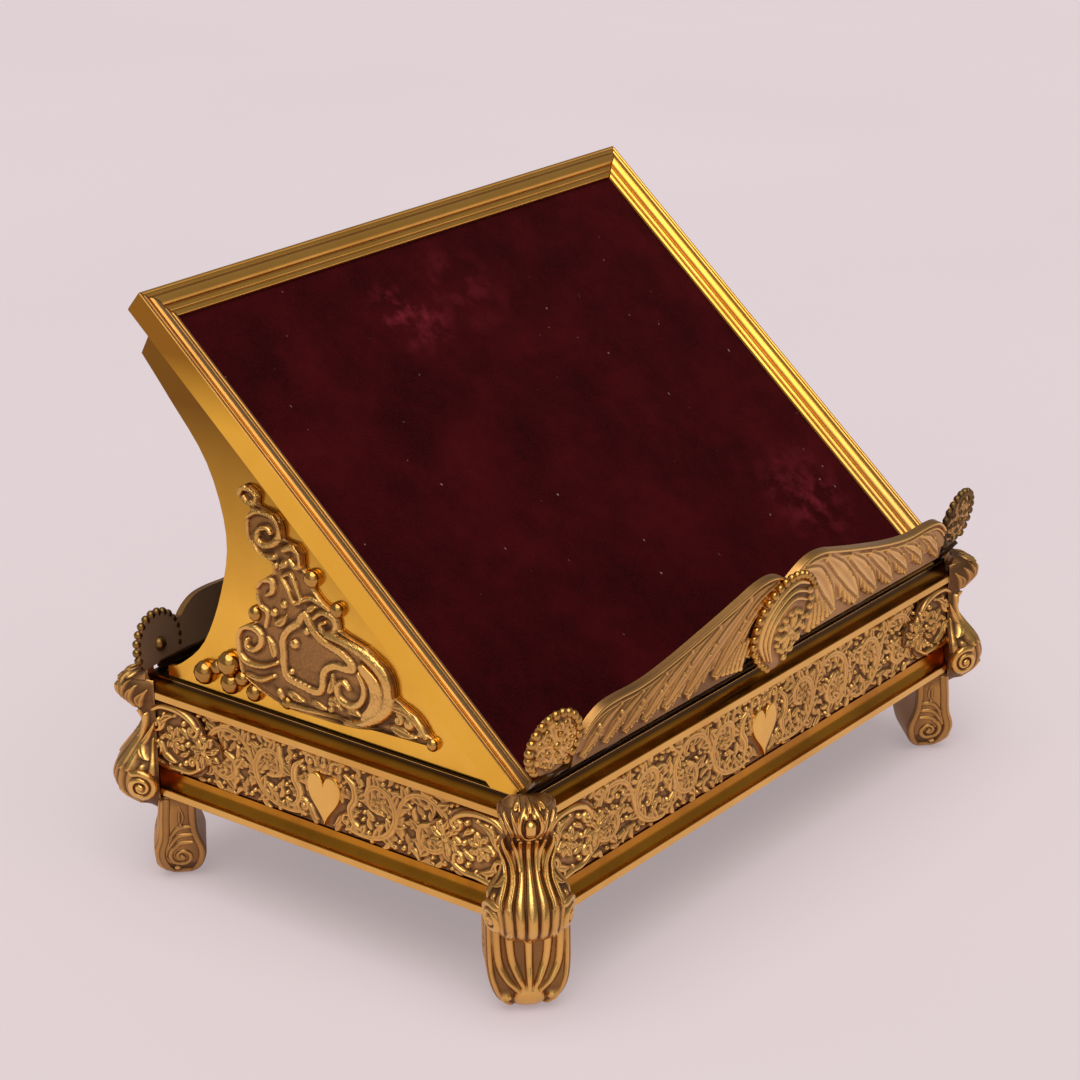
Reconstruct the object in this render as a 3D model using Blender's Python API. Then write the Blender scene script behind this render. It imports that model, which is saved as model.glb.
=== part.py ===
"""Missal stand: a sloping velvet book board in a brass desk, on a chased box base with scroll feet.

Frame: +X right along the front edge, +Y to the back, +Z up, origin on the floor under the middle.
All sizes are in metres. The pieces are placed about the middle of the base box, and the last lines move
them all so that the middle of the whole stand lies over the origin.
"""
import math

import bmesh
import bpy
from mathutils import Matrix, Vector

# Clearance left between neighbouring pieces.
GAP = 0.0003

# Base box, measured over the bright fillets of the top rails.
BASE_W = 0.350
BASE_D = 0.231
FOOT_H = 0.0440
BOTTOM_RAIL_H = 0.0107
FRIEZE_H = 0.0355
TOP_RAIL_H = 0.0090
RAIL_T = 0.0120
PLINTH_OUT = 0.0020
FILLET_H = 0.0038
COVE_DEPTH = 0.0057
FRIEZE_IN = 0.0032
FRIEZE_T = 0.0030
DECK_T = 0.0027
DECK_SEAT = 0.0080
HEART_W = 0.0190
HEART_H = 0.0245
HEART_RISE = 0.0018
HEART_DROP = 0.0042

# Corner mounts and feet. CANT is how far each corner is cut back along its diagonal.
CANT = 0.0120
MOUNT_KNEE = 0.0087
MOUNT_HEAD = 0.0045
MOUNT_NECK = -0.0062
MOUNT_HALF_W = 0.0155
FLUTE_RISE = 0.0009
WING_LEN = 0.0560
WING_T = 0.0020
FOOT_HALF_W = 0.0172
FOOT_BALL_R = 0.0062
FOOT_PAD = 0.0085

# Desk: the sloping frame starts at the front edge of the base and rises to the back.
DESK_INSET = 0.0055
DESK_FRONT = 0.0098
DESK_L = 0.2695
SLOPE = math.radians(40.9)
MOULD_W = 0.0145
MOULD_RISE = 0.0021
LIP_T = 0.0036
FLANGE_W = 0.0115
FLANGE_T = 0.0025
PANEL_T = 0.0025
VELVET_T = 0.0014
BOARD_T = 0.0065
CLEAT = 0.0060
ORNAMENT_T = 0.0018
PANEL_WAIST = 0.0430
PANEL_CLEAR = 0.0100
PANEL_NOSE = 0.0185

# Front ledge and rear gallery.
STRIP_H = 0.0105
STRIP_T = 0.0020
REAR_STRIP_H = 0.0030
LEDGE_LEAN = math.radians(12.0)
REAR_LEAN = math.radians(4.0)
ARM_T = 0.0018
LEAF_RISE = 0.0014
ARM_CREST = 0.0460
ARM_INNER = 0.0006
FAN_W = 0.0255
FAN_R = 0.0162
FAN_BACK = math.radians(6.0)
FAN_T = 0.0022
SHELL_R = 0.0255
SHELL_DROP = 0.0085
SHELL_T = 0.0024

BASE_TOP = FOOT_H + BOTTOM_RAIL_H + FRIEZE_H + TOP_RAIL_H
FRIEZE_LOW = FOOT_H + BOTTOM_RAIL_H
FRIEZE_HIGH = FRIEZE_LOW + FRIEZE_H
HALF_W = BASE_W / 2
HALF_D = BASE_D / 2
DESK_HALF = HALF_W - DESK_INSET
PANEL_OUT = DESK_HALF - FLANGE_T - GAP
BOARD_HALF = PANEL_OUT - PANEL_T - GAP
ARM_OUTER = DESK_HALF - FAN_W
SIN = math.sin(SLOPE)
COS = math.cos(SLOPE)
FRONT_Y = -HALF_D + DESK_FRONT
FRONT_Z = BASE_TOP + 0.0027

for item in list(bpy.data.objects):
    bpy.data.objects.remove(item, do_unlink=True)


def material(name, colour, metallic, roughness):
    made = bpy.data.materials.new(name)
    made.use_nodes = True
    shader = made.node_tree.nodes["Principled BSDF"]
    shader.inputs["Base Color"].default_value = (*colour, 1.0)
    shader.inputs["Metallic"].default_value = metallic
    shader.inputs["Roughness"].default_value = roughness
    return made


POLISHED = material("polished_brass", (0.80, 0.50, 0.15), 1.0, 0.22)
CAST = material("cast_brass", (0.58, 0.36, 0.13), 1.0, 0.40)
VELVET = material("velvet", (0.055, 0.006, 0.012), 0.0, 0.95)
WOOD = material("wood", (0.22, 0.12, 0.06), 0.0, 0.70)


def finish(name, bm, surface):
    bmesh.ops.remove_doubles(bm, verts=bm.verts, dist=0.000002)
    bmesh.ops.recalc_face_normals(bm, faces=bm.faces)
    mesh = bpy.data.meshes.new(name)
    bm.to_mesh(mesh)
    bm.free()
    mesh.materials.append(surface)
    piece = bpy.data.objects.new(name, mesh)
    bpy.context.scene.collection.objects.link(piece)
    return piece


def loft(rings):
    """Join equal closed rings of points in order and close both ends."""
    bm = bmesh.new()
    made = [[bm.verts.new(point) for point in ring] for ring in rings]
    for low, high in zip(made, made[1:]):
        for i in range(len(low)):
            j = (i + 1) % len(low)
            bm.faces.new((low[i], low[j], high[j], high[i]))
    bm.faces.new(made[0][::-1])
    bm.faces.new(made[-1])
    return bm


def prism(outline, place, low, high):
    return loft([[place(a, b, level) for a, b in outline] for level in (low, high)])


def box(x, y, z):
    return prism([(x[0], y[0]), (x[1], y[0]), (x[1], y[1]), (x[0], y[1])], lambda a, b, c: (a, b, c), *z)


def trim(bm, point, outward):
    """Cut away everything on the outward side of a plane and close the cut."""
    geometry = list(bm.verts) + list(bm.edges) + list(bm.faces)
    cut = bmesh.ops.bisect_plane(bm, geom=geometry, plane_co=point, plane_no=outward, clear_outer=True)
    edges = [item for item in cut["geom_cut"] if isinstance(item, bmesh.types.BMEdge)]
    bmesh.ops.contextual_create(bm, geom=edges)
    return bm


def combine(target, tools, operation="UNION"):
    for tool in tools:
        step = target.modifiers.new("join", "BOOLEAN")
        step.operation = operation
        step.solver = "EXACT"
        step.object = tool
    depsgraph = bpy.context.evaluated_depsgraph_get()
    mesh = bpy.data.meshes.new_from_object(target.evaluated_get(depsgraph))
    target.modifiers.clear()
    target.data = mesh
    for tool in tools:
        bpy.data.objects.remove(tool, do_unlink=True)
    bm = bmesh.new()
    bm.from_mesh(mesh)
    bmesh.ops.remove_doubles(bm, verts=bm.verts, dist=0.000005)
    bmesh.ops.dissolve_degenerate(bm, edges=bm.edges, dist=0.000002)
    bm.to_mesh(mesh)
    bm.free()
    return target


def ball(name, centre, radius, surface, squash=(1.0, 1.0, 1.0), u=14, v=8):
    bm = bmesh.new()
    bmesh.ops.create_uvsphere(bm, u_segments=u, v_segments=v, radius=radius)
    for vert in bm.verts:
        vert.co = Vector(centre) + Vector([c * s for c, s in zip(vert.co, squash)])
    return finish(name, bm, surface)


def smooth(points, steps):
    """Points along a Catmull-Rom curve through the given points."""
    ends = [points[0]] + list(points) + [points[-1]]
    made = []
    for k in range(1, len(ends) - 2):
        p0, p1, p2, p3 = (Vector(p) for p in ends[k - 1:k + 3])
        for s in range(steps):
            t = s / steps
            made.append(0.5 * (2 * p1 + (p2 - p0) * t + (2 * p0 - 5 * p1 + 4 * p2 - p3) * t * t
                               + (3 * p1 - p0 - 3 * p2 + p3) * t * t * t))
    made.append(Vector(points[-1]))
    return [tuple(p) for p in made]


# Base box: four mitred rails above and below, with frieze plates between them. A rail profile runs
# in (q, z), q being the distance from the middle; its ends are mitred and cut back at the corners.
SIDES = {"front": (0, -1), "back": (0, 1), "left": (-1, 0), "right": (1, 0)}


def run_along(name, profile, side, surface):
    nx, ny = SIDES[side]
    outer, along = (HALF_D, HALF_W) if ny else (HALF_W, HALF_D)

    def place(q, s, z):
        return Vector((s, ny * q, z)) if ny else Vector((nx * q, s, z))

    rings = [[place(q, end * (along - outer + q), z) for q, z in profile] for end in (-1, 1)]
    bm = loft(rings)
    bmesh.ops.recalc_face_normals(bm, faces=bm.faces)
    for end in (-1, 1):
        corner = place(outer, end * along, 0.0)
        diagonal = (place(1.0, end, 0.0)).normalized()
        trim(bm, corner - diagonal * CANT, diagonal)
    return finish(name, bm, surface)


def top_profile(q):
    low = FRIEZE_HIGH
    cove_h = TOP_RAIL_H - FILLET_H - 0.0006
    points = [(q - RAIL_T - DECK_SEAT, low), (q, low), (q, low + FILLET_H)]
    for k in range(7):
        turn = math.radians(15 * k)
        points.append((q - 0.0008 - COVE_DEPTH * math.sin(turn), low + FILLET_H + cove_h * (1 - math.cos(turn))))
    points += [(q - 0.0008 - COVE_DEPTH, BASE_TOP), (q - RAIL_T, BASE_TOP), (q - RAIL_T, BASE_TOP - DECK_T - GAP),
               (q - RAIL_T - DECK_SEAT, BASE_TOP - DECK_T - GAP)]
    return points


def bottom_profile(q):
    cove_h = BOTTOM_RAIL_H - FILLET_H
    out = PLINTH_OUT + FRIEZE_IN - 0.0006
    points = [(q - RAIL_T, FRIEZE_LOW), (q - RAIL_T, FOOT_H), (q + PLINTH_OUT, FOOT_H),
              (q + PLINTH_OUT, FOOT_H + FILLET_H)]
    for k in range(6, -1, -1):
        turn = math.radians(15 * k)
        points.append((q - FRIEZE_IN + out * (1 - math.cos(turn)), FRIEZE_LOW - cove_h * math.sin(turn)))
    return points


def heart(width, height, count=20):
    """Heart outline, point down, centred on its box."""
    points = []
    for k in range(count):
        t = 2 * math.pi * k / count
        across = math.sin(t) ** 3
        up = (13 * math.cos(t) - 5 * math.cos(2 * t) - 2 * math.cos(3 * t) - math.cos(4 * t) + 2.5) / 29
        points.append((across * width / 2, up * height))
    return points


for side_name, (side_x, side_y) in SIDES.items():
    reach = HALF_D if side_y else HALF_W
    run_along("top_rail_" + side_name, top_profile(reach), side_name, POLISHED)
    run_along("bottom_rail_" + side_name, bottom_profile(reach), side_name, POLISHED)
    face = reach - FRIEZE_IN
    plate = run_along("frieze_" + side_name, [
        (face - FRIEZE_T, FRIEZE_LOW + GAP), (face, FRIEZE_LOW + GAP),
        (face, FRIEZE_HIGH - GAP), (face - FRIEZE_T, FRIEZE_HIGH - GAP)], side_name, CAST)
    middle = (FRIEZE_LOW + FRIEZE_HIGH) / 2 - HEART_DROP

    def on_face(a, b, c):
        q = face + c
        return Vector((a, side_y * q, middle + b)) if side_y else Vector((side_x * q, a, middle + b))

    boss = finish("boss", loft([[on_face(a * k, b * k, c) for a, b in heart(HEART_W, HEART_H)]
                                for k, c in ((1.0, -0.001), (1.0, 0.0006), (0.72, HEART_RISE))]), CAST)
    combine(plate, [boss])

seat = RAIL_T + GAP
finish("deck_plate", box((-HALF_W + seat, HALF_W - seat), (-HALF_D + seat, HALF_D - seat),
                         (BASE_TOP - DECK_T, BASE_TOP)), POLISHED)

# Corner mounts: cast acanthus consoles that stand on the cut corners. Each is a loft of level sections; the
# front of a section follows the console profile and swells into flutes. A lobed wing lies on each frieze.
CORNERS = {"front_left": (-1, -1), "front_right": (1, -1), "back_left": (-1, 1), "back_right": (1, 1)}
MOUNT_TIP = FOOT_H * 0.77
SPAN = BASE_TOP - MOUNT_TIP


def corner_place(sign):
    sx, sy = sign
    half = math.sqrt(0.5)

    def place(w, t, z):
        return Vector((sx * (HALF_W + (t + w) * half), sy * (HALF_D + (t - w) * half), z))
    return place


# (height fraction, front of the profile, half width, flute strength)
CONSOLE = [(0.00, -0.0075, 0.45, 0.0), (0.035, -0.0045, 0.62, 0.4), (0.09, 0.0012, 0.78, 0.8),
           (0.14, 0.0055, 0.88, 1.0), (0.20, MOUNT_KNEE - 0.0006, 0.95, 1.0), (0.26, MOUNT_KNEE, 0.97, 1.0),
           (0.33, MOUNT_KNEE - 0.0013, 0.93, 1.0), (0.41, 0.0038, 0.86, 1.0), (0.50, -0.0010, 0.78, 1.0),
           (0.58, MOUNT_NECK + 0.0014, 0.72, 0.9), (0.65, MOUNT_NECK, 0.68, 0.7), (0.71, MOUNT_NECK + 0.0010, 0.66, 0.5),
           (0.77, -0.0022, 0.67, 0.3), (0.82, 0.0016, 0.70, 0.2), (0.87, MOUNT_HEAD - 0.0003, 0.74, 0.1),
           (0.93, MOUNT_HEAD, 0.76, 0.0), (0.98, 0.0028, 0.73, 0.0), (1.02, -0.0012, 0.64, 0.0),
           (1.045, -0.0060, 0.48, 0.0)]


def console(place):
    rings = []
    for level, front, width, flute in CONSOLE:
        half = MOUNT_HALF_W * width
        # Above the base the head stands clear of the desk's corner.
        back = -CANT + GAP if level < 1.0 else -CANT + 0.0034
        ring = []
        for k in range(21):
            w = -math.cos(math.pi * k / 20)
            reach = (1 - abs(w) ** 2.6) ** 0.55
            t = back + (front - back) * reach + FLUTE_RISE * flute * reach * math.cos(5 * math.pi * w)
            ring.append(place(half * w, max(t, back), MOUNT_TIP + SPAN * level))
        ring.append((ring[-1] + ring[0]) * 0.5)
        rings.append(ring)
    return loft(rings)


def wing_outline():
    low = FRIEZE_LOW + 2 * GAP
    high = FRIEZE_HIGH - 2 * GAP
    tall = high - low
    lobes = [(0.16, 0.92), (0.34, 0.99), (0.52, 1.00), (0.66, 0.96), (0.76, 0.86), (0.80, 0.74), (0.78, 0.64),
             (0.90, 0.66), (0.98, 0.58), (1.00, 0.47), (0.93, 0.38), (0.82, 0.35), (0.84, 0.24), (0.78, 0.14),
             (0.66, 0.08), (0.56, 0.10), (0.50, 0.03), (0.38, 0.00), (0.26, 0.04), (0.16, 0.14)]
    return [(WING_LEN * a, low + tall * b) for a, b in lobes]


# Scroll feet: the side outline of the volute in (t, z), swept across the diagonal and narrowing to the floor.
FOOT_FRONT = -CANT - GAP
VOLUTE = (FOOT_FRONT - 0.0077, FOOT_H * 0.25)


def foot_outline():
    high = FOOT_H - GAP
    turn = MOUNT_TIP - 2 * GAP
    t = FOOT_FRONT
    return [(t, high), (t, high * 0.87), (t, turn), (t + 0.0019, turn * 0.89), (t + 0.0016, turn * 0.76),
            (t + 0.0014, turn * 0.64), (t + 0.0024, turn * 0.51), (t + 0.0035, turn * 0.37),
            (t + 0.0036, turn * 0.23), (t + 0.0018, turn * 0.10), (t - 0.0015, turn * 0.025),
            (t - 0.0032, 0.0), (t - 0.0032 - FOOT_PAD, 0.0), (t - 0.0148, turn * 0.07), (t - 0.0177, turn * 0.19),
            (t - 0.0187, turn * 0.37), (t - 0.0182, turn * 0.52), (t - 0.0165, turn * 0.70),
            (t - 0.0152, turn * 0.87), (t - 0.0150, high * 0.88), (t - 0.0155, high)]


def foot_half(z):
    """Half width of the foot at a height: full above, drawn in to the floor in a rounded shield shape."""
    part = min(max(z / (FOOT_H * 0.62), 0.0), 1.0)
    return FOOT_HALF_W * (0.30 + 0.70 * math.sin(part * math.pi / 2))


def foot(place):
    outline = foot_outline()
    rings = []
    for w, scale, dip in ((-0.86, 0.45, 0.0014), (-0.97, 0.74, 0.0014), (-1.0, 0.80, 0.0), (-0.99, 0.93, 0.0),
                          (-0.86, 1.0, 0.0), (-0.5, 1.0, 0.0), (0.0, 1.0, 0.0), (0.5, 1.0, 0.0), (0.86, 1.0, 0.0),
                          (0.99, 0.93, 0.0), (1.0, 0.80, 0.0), (0.97, 0.74, 0.0014), (0.86, 0.45, 0.0014)):
        ring = []
        for t, z in outline:
            middle_z = VOLUTE[1] if z < MOUNT_TIP else z
            tt = VOLUTE[0] + (t - VOLUTE[0]) * scale
            zz = middle_z + (z - middle_z) * scale
            ring.append(place(w * foot_half(zz) - math.copysign(dip, w), tt, zz))
        rings.append(ring)
    return loft(rings)


for corner_name, signs in CORNERS.items():
    spot = corner_place(signs)
    mount = finish("corner_mount_" + corner_name, console(spot), CAST)
    outline = wing_outline()
    near = FRIEZE_IN - GAP
    front_wing = finish("front_wing", prism(outline, lambda a, b, c: Vector((
        signs[0] * (HALF_W - a), signs[1] * (HALF_D - c), b)), near, near - WING_T), CAST)
    side_wing = finish("side_wing", prism(outline, lambda a, b, c: Vector((
        signs[0] * (HALF_W - c), signs[1] * (HALF_D - a), b)), near, near - WING_T), CAST)
    combine(mount, [front_wing, side_wing])
    standing = finish("scroll_foot_" + corner_name, foot(spot), CAST)
    pearl = ball("pearl", spot(0.0, FOOT_FRONT - 0.0012, FOOT_BALL_R + GAP), FOOT_BALL_R, CAST)
    combine(standing, [pearl])
    inset = FRIEZE_IN + FRIEZE_T + GAP
    depth = CANT + GAP
    post = [(inset, 2 * inset + 0.0160), (inset, depth * math.sqrt(2) - inset), (depth * math.sqrt(2) - inset, inset),
            (2 * inset + 0.0160, inset)]
    finish("corner_block_" + corner_name, prism(post, lambda a, b, c: Vector((
        signs[0] * (HALF_W - a), signs[1] * (HALF_D - b), c)), FRIEZE_LOW + GAP, FRIEZE_HIGH - GAP), WOOD)


# Desk. Points are placed by (x, u, n): u runs up the slope from the front edge, n stands square to the board.
def desk(x, u, n):
    return Vector((x, FRONT_Y + u * COS - n * SIN, FRONT_Z + u * SIN + n * COS))


def mould_profile():
    """Frame rail section in (a, n), a running inward from the outer edge."""
    points = [(0.0, -FLANGE_W), (FLANGE_T, -FLANGE_W), (FLANGE_T, -MOULD_RISE - LIP_T + 0.0009),
              (MOULD_W, -MOULD_RISE - LIP_T + 0.0009), (MOULD_W, -0.0032), (MOULD_W - 0.0012, -0.0030)]
    for start in (MOULD_W - 0.0013, MOULD_W - 0.0036):
        for k in range(1, 4):
            turn = math.radians(45 * k)
            points.append((start - 0.00115 * (1 - math.cos(turn)), -0.0024 + 0.0009 * math.sin(turn)))
        points.append((start - 0.0023, -0.0026))
    wide = MOULD_W - 0.0013 - 0.0046 - 0.0022
    for k in range(0, 7):
        turn = math.radians(30 * k)
        points.append((MOULD_W - 0.0065 - wide / 2 * (1 - math.cos(turn)), -0.0012 + (MOULD_RISE + 0.0012) * math.sin(turn)))
    points += [(0.0012, -0.0010), (0.0012, 0.0), (0.0, 0.0)]
    return points


FLOOR_CUT = Vector((0.0, 0.0, BASE_TOP + GAP))
DOWN = Vector((0.0, 0.0, -1.0))
UNDER_LIP = -MOULD_RISE - LIP_T + 0.0009 - GAP
for name, sign in (("left", -1), ("right", 1)):
    rings = [[desk(sign * (DESK_HALF - a), GAP, n) for a, n in mould_profile()],
             [desk(sign * (DESK_HALF - a), DESK_L - GAP - a, n) for a, n in mould_profile()]]
    rail = loft(rings)
    bmesh.ops.recalc_face_normals(rail, faces=rail.faces)
    finish("frame_rail_" + name, trim(rail, FLOOR_CUT, DOWN), POLISHED)
rings = [[desk(sign * (DESK_HALF - GAP - a), DESK_L - a, n) for a, n in mould_profile()] for sign in (-1, 1)]
finish("frame_rail_top", loft(rings), POLISHED)

slab_end = DESK_L - FLANGE_T - GAP
slab = [(GAP, UNDER_LIP), (slab_end, UNDER_LIP), (slab_end, UNDER_LIP - VELVET_T), (GAP, UNDER_LIP - VELVET_T)]
cloth = prism(slab, lambda a, b, c: desk(c, a, b), -BOARD_HALF, BOARD_HALF)
bmesh.ops.recalc_face_normals(cloth, faces=cloth.faces)
finish("velvet_cover", trim(cloth, FLOOR_CUT, DOWN), VELVET)
board_high = UNDER_LIP - VELVET_T - GAP
slab = [(GAP, board_high), (slab_end, board_high), (slab_end, board_high - BOARD_T), (GAP, board_high - BOARD_T)]
board = prism(slab, lambda a, b, c: desk(c, a, b), -BOARD_HALF, BOARD_HALF)
bmesh.ops.recalc_face_normals(board, faces=board.faces)
finish("book_board", trim(board, FLOOR_CUT, DOWN), WOOD)

# Side panels: sloping top edge under the frame flange, square cut at the top, long concave rear edge.
# The foot of that edge stands a set way in front of the rear gallery.
PANEL_TOP_U = DESK_L - FLANGE_W - FLANGE_T / 4
panel_floor = BASE_TOP + GAP
rear_y = HALF_D - RAIL_T + 0.3 * RAIL_T
panel_foot = rear_y - PANEL_CLEAR


def panel_front():
    return (panel_floor - FRONT_Z - UNDER_LIP * COS) / SIN + 0.5 * PANEL_T


def panel_outline():
    def at(u, n):
        spot = desk(0.0, u, n)
        return (spot.y, spot.z)

    start = at(PANEL_TOP_U - 0.2 * PANEL_NOSE, UNDER_LIP - PANEL_NOSE)
    tall = start[1] - panel_floor
    # (height up the edge, how far it is drawn in as a part of the waist)
    edge = [(1.0, 0.0), (0.885, 0.341), (0.715, 0.805), (0.51, 1.0), (0.33, 0.872), (0.15, 0.569), (0.055, 0.202),
            (0.032, 0.0)]
    rear = smooth([(panel_foot + (start[0] - panel_foot) * up - PANEL_WAIST * drawn, panel_floor + tall * up)
                   for up, drawn in edge], 4)
    front = at(panel_front(), UNDER_LIP)
    return [front, at(PANEL_TOP_U, UNDER_LIP)] + rear + [(panel_foot, panel_floor),
                                                        (front[0] + 0.5 * PANEL_T, panel_floor)]


cleat_front = desk(0.0, panel_front(), UNDER_LIP).y + 6 * CLEAT
cleat_back = panel_foot - 4 * CLEAT
for name, sign in (("left", -1), ("right", 1)):
    finish("side_panel_" + name, prism(panel_outline(), lambda a, b, c: Vector((sign * c, a, b)),
                                       PANEL_OUT - PANEL_T, PANEL_OUT), POLISHED)
    finish("desk_cleat_" + name, prism([(cleat_front, panel_floor), (cleat_back, panel_floor),
                                        (cleat_back, panel_floor + CLEAT), (cleat_front, panel_floor + CLEAT)],
                                       lambda a, b, c: Vector((sign * c, a, b)), BOARD_HALF - CLEAT, BOARD_HALF), WOOD)

# Cast strapwork ornament on each panel: a stepped cartouche between scrolls, beads and a berry cluster.
# Each lobe is (y, height above the panel foot, radius, thickness in plate thicknesses).
VOLUTES = [(0.042, 0.1000, 0.0056, 1.9), (0.0335, 0.0846, 0.0112, 1.8), (0.0265, 0.0725, 0.0058, 1.4),
           (0.0165, 0.0760, 0.0068, 1.9), (0.0345, 0.0580, 0.0066, 1.7), (0.0450, 0.0290, 0.0105, 1.8),
           (-0.0010, 0.0500, 0.0080, 1.8), (-0.0440, 0.0190, 0.0068, 1.7), (-0.0510, 0.0130, 0.0056, 1.8)]
BEADS = [(0.0052, 0.0690, 0.0048), (0.0405, 0.0450, 0.0040), (-0.0060, 0.0578, 0.0040), (0.0728, 0.0086, 0.0062),
         (0.0580, 0.0172, 0.0066), (0.0580, 0.0078, 0.0060), (0.0435, 0.0068, 0.0042), (0.0222, 0.0068, 0.0042),
         (-0.0565, 0.0092, 0.0038)]
CARTOUCHE = [(0.060, 0.0040), (0.0725, 0.0086), (0.060, 0.0160), (0.052, 0.0330), (0.042, 0.0400), (0.0385, 0.0550),
             (0.0330, 0.0640), (0.0290, 0.0760), (0.0370, 0.0860), (0.0420, 0.0960), (0.0385, 0.0975), (0.0300, 0.0880),
             (0.0200, 0.0760), (0.0110, 0.0720), (0.0040, 0.0640), (-0.0040, 0.0555), (-0.0060, 0.0462),
             (-0.0230, 0.0440), (-0.0330, 0.0375), (-0.0368, 0.0270), (-0.0400, 0.0225), (-0.0500, 0.0170),
             (-0.0540, 0.0085), (-0.0450, 0.0075), (-0.0300, 0.0055), (-0.0120, 0.0042), (0.0200, 0.0038)]
CRESCENT = [(-0.0030, 0.0452), (-0.0130, 0.0458), (-0.0240, 0.0440), (-0.0322, 0.0388), (-0.0364, 0.0318),
            (-0.0368, 0.0240), (-0.0334, 0.0160), (-0.0280, 0.0100), (-0.0240, 0.0085), (-0.0270, 0.0165),
            (-0.0284, 0.0240), (-0.0276, 0.0300), (-0.0236, 0.0352), (-0.0160, 0.0392)]
for name, sign in (("left", -1), ("right", 1)):
    def on_panel(a, b, c):
        return Vector((sign * (PANEL_OUT + GAP + c), a, panel_floor + b))

    cast = finish("side_ornament_" + name, prism(CARTOUCHE, on_panel, 0.0, ORNAMENT_T), CAST)
    parts = [finish("leaf", loft([[on_panel(a, b, c) for a, b in CRESCENT]
                                  for c in (0.0001, ORNAMENT_T * 1.9)]), CAST)]
    for y, z, radius, thick in VOLUTES:
        ring = [(math.cos(2 * math.pi * k / 14), math.sin(2 * math.pi * k / 14)) for k in range(14)]
        parts.append(finish("volute", loft([
            [on_panel(y + radius * s * a, z + radius * s * b, c) for a, b in ring]
            for s, c in ((1.0, 0.0001), (1.0, ORNAMENT_T * 0.9), (0.8, ORNAMENT_T * thick))]), CAST))
    for y, z, radius in BEADS:
        middle_point = on_panel(y, z, 0.0)
        drop = ball("bead", middle_point, radius, CAST, (0.75, 1.0, 1.0), 10, 6)
        shaved = bmesh.new()
        shaved.from_mesh(drop.data)
        trim(shaved, on_panel(y, z, 0.0001), Vector((-sign, 0.0, 0.0)))
        bmesh.ops.recalc_face_normals(shaved, faces=shaved.faces)
        shaved.to_mesh(drop.data)
        shaved.free()
        parts.append(drop)
    combine(cast, parts)


# Galleries. Points are placed by (x, s, c): s runs up the gallery, c stands off its back face.
def gallery_place(origin_y, origin_z, lean, facing):
    def place(x, s, c):
        return Vector((x, origin_y + facing * (s * math.sin(lean) + c * math.cos(lean)),
                       origin_z + s * math.cos(lean) - c * math.sin(lean)))
    return place


# Crest of one arm from the middle outward: (part of the arm length, part of the crest height).
CREST = [(0.000, 0.840), (0.022, 0.885), (0.058, 0.945), (0.100, 0.985), (0.145, 0.990), (0.195, 0.966),
         (0.255, 0.912), (0.350, 0.828), (0.450, 0.746), (0.560, 0.660), (0.675, 0.588), (0.765, 0.560),
         (0.860, 0.566), (0.925, 0.545), (0.970, 0.475), (1.000, 0.390)]
# Lower edge of the leaf on the arm: tips that hang over the plain foot of the plate.
LEAF_TIPS = [(0.965, 0.270), (0.900, 0.190), (0.865, 0.235), (0.790, 0.150), (0.755, 0.225), (0.680, 0.140),
             (0.630, 0.225), (0.560, 0.160), (0.500, 0.255), (0.420, 0.170), (0.360, 0.270), (0.315, 0.110),
             (0.240, 0.040), (0.165, 0.065), (0.145, 0.300), (0.060, 0.330)]


def arm(name, place, side):
    """Plate with a wavy crest and a plain foot, and a leaf raised on its upper part."""
    length = ARM_OUTER - ARM_INNER
    crest = [(ARM_INNER + length * a, ARM_CREST * b) for a, b in smooth(CREST, 2)]
    outline = crest + [(ARM_OUTER, 0.0), (ARM_INNER, 0.0)]
    plate = finish(name, loft([[place(side * x, h, level) for x, h in outline] for level in (0.0, ARM_T)]), CAST)
    rim = 0.07 * ARM_CREST
    leaf = [(ARM_INNER + length * a, ARM_CREST * b - rim) for a, b in CREST[1:-1]]
    leaf += [(ARM_INNER + length * a, ARM_CREST * b) for a, b in LEAF_TIPS]
    rings = []
    for shrink, level in ((1.0, 0.5 * ARM_T), (1.0, ARM_T + 0.4 * LEAF_RISE), (0.90, ARM_T + LEAF_RISE)):
        rings.append([place(side * x, 0.4 * ARM_CREST + (h - 0.4 * ARM_CREST) * shrink, level) for x, h in leaf])
    combine(plate, [finish("leaf", loft(rings), CAST)])


def scallop(radius, count, deep, start, end):
    """Arc of round beads: one point on each bead and one in each notch."""
    steps = round(2 * count * (end - start) / (2 * math.pi))
    points = []
    for k in range(steps + 1):
        turn = start + (end - start) * k / steps
        reach = radius if k % 2 == 0 else radius - deep
        points.append((reach * math.cos(turn), reach * math.sin(turn)))
    return points


def domed(outline, centre, place, thick, rise):
    rings = []
    for scale, level in ((1.0, 0.0), (1.0, thick * 0.7), (0.88, thick), (0.60, thick + rise * 0.7), (0.25, thick + rise)):
        rings.append([place(centre[0] + (a - centre[0]) * scale, centre[1] + (b - centre[1]) * scale, level)
                      for a, b in outline])
    return loft(rings)


def end_fan(place, side, centre_s, foot_s):
    """Beaded fan with a plain foot, turned back about the arm's outer end."""
    centre = (FAN_R, centre_s)
    dip = math.asin(min(0.9, (centre_s - foot_s) / FAN_R))
    arc = scallop(FAN_R, 26, 0.07 * FAN_R, -0.6 * dip, math.pi + 0.6 * dip)
    outline = [(centre[0] + a, centre[1] + b) for a, b in arc]
    outline += [(0.0, foot_s), (1.9 * FAN_R, foot_s)]

    def turned(a, b, c):
        x = ARM_OUTER + GAP + a * math.cos(FAN_BACK) + c * math.sin(FAN_BACK)
        return place(side * x, b, c * math.cos(FAN_BACK) - a * math.sin(FAN_BACK))
    return domed(outline, centre, turned, FAN_T, 0.07 * FAN_R)


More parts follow.
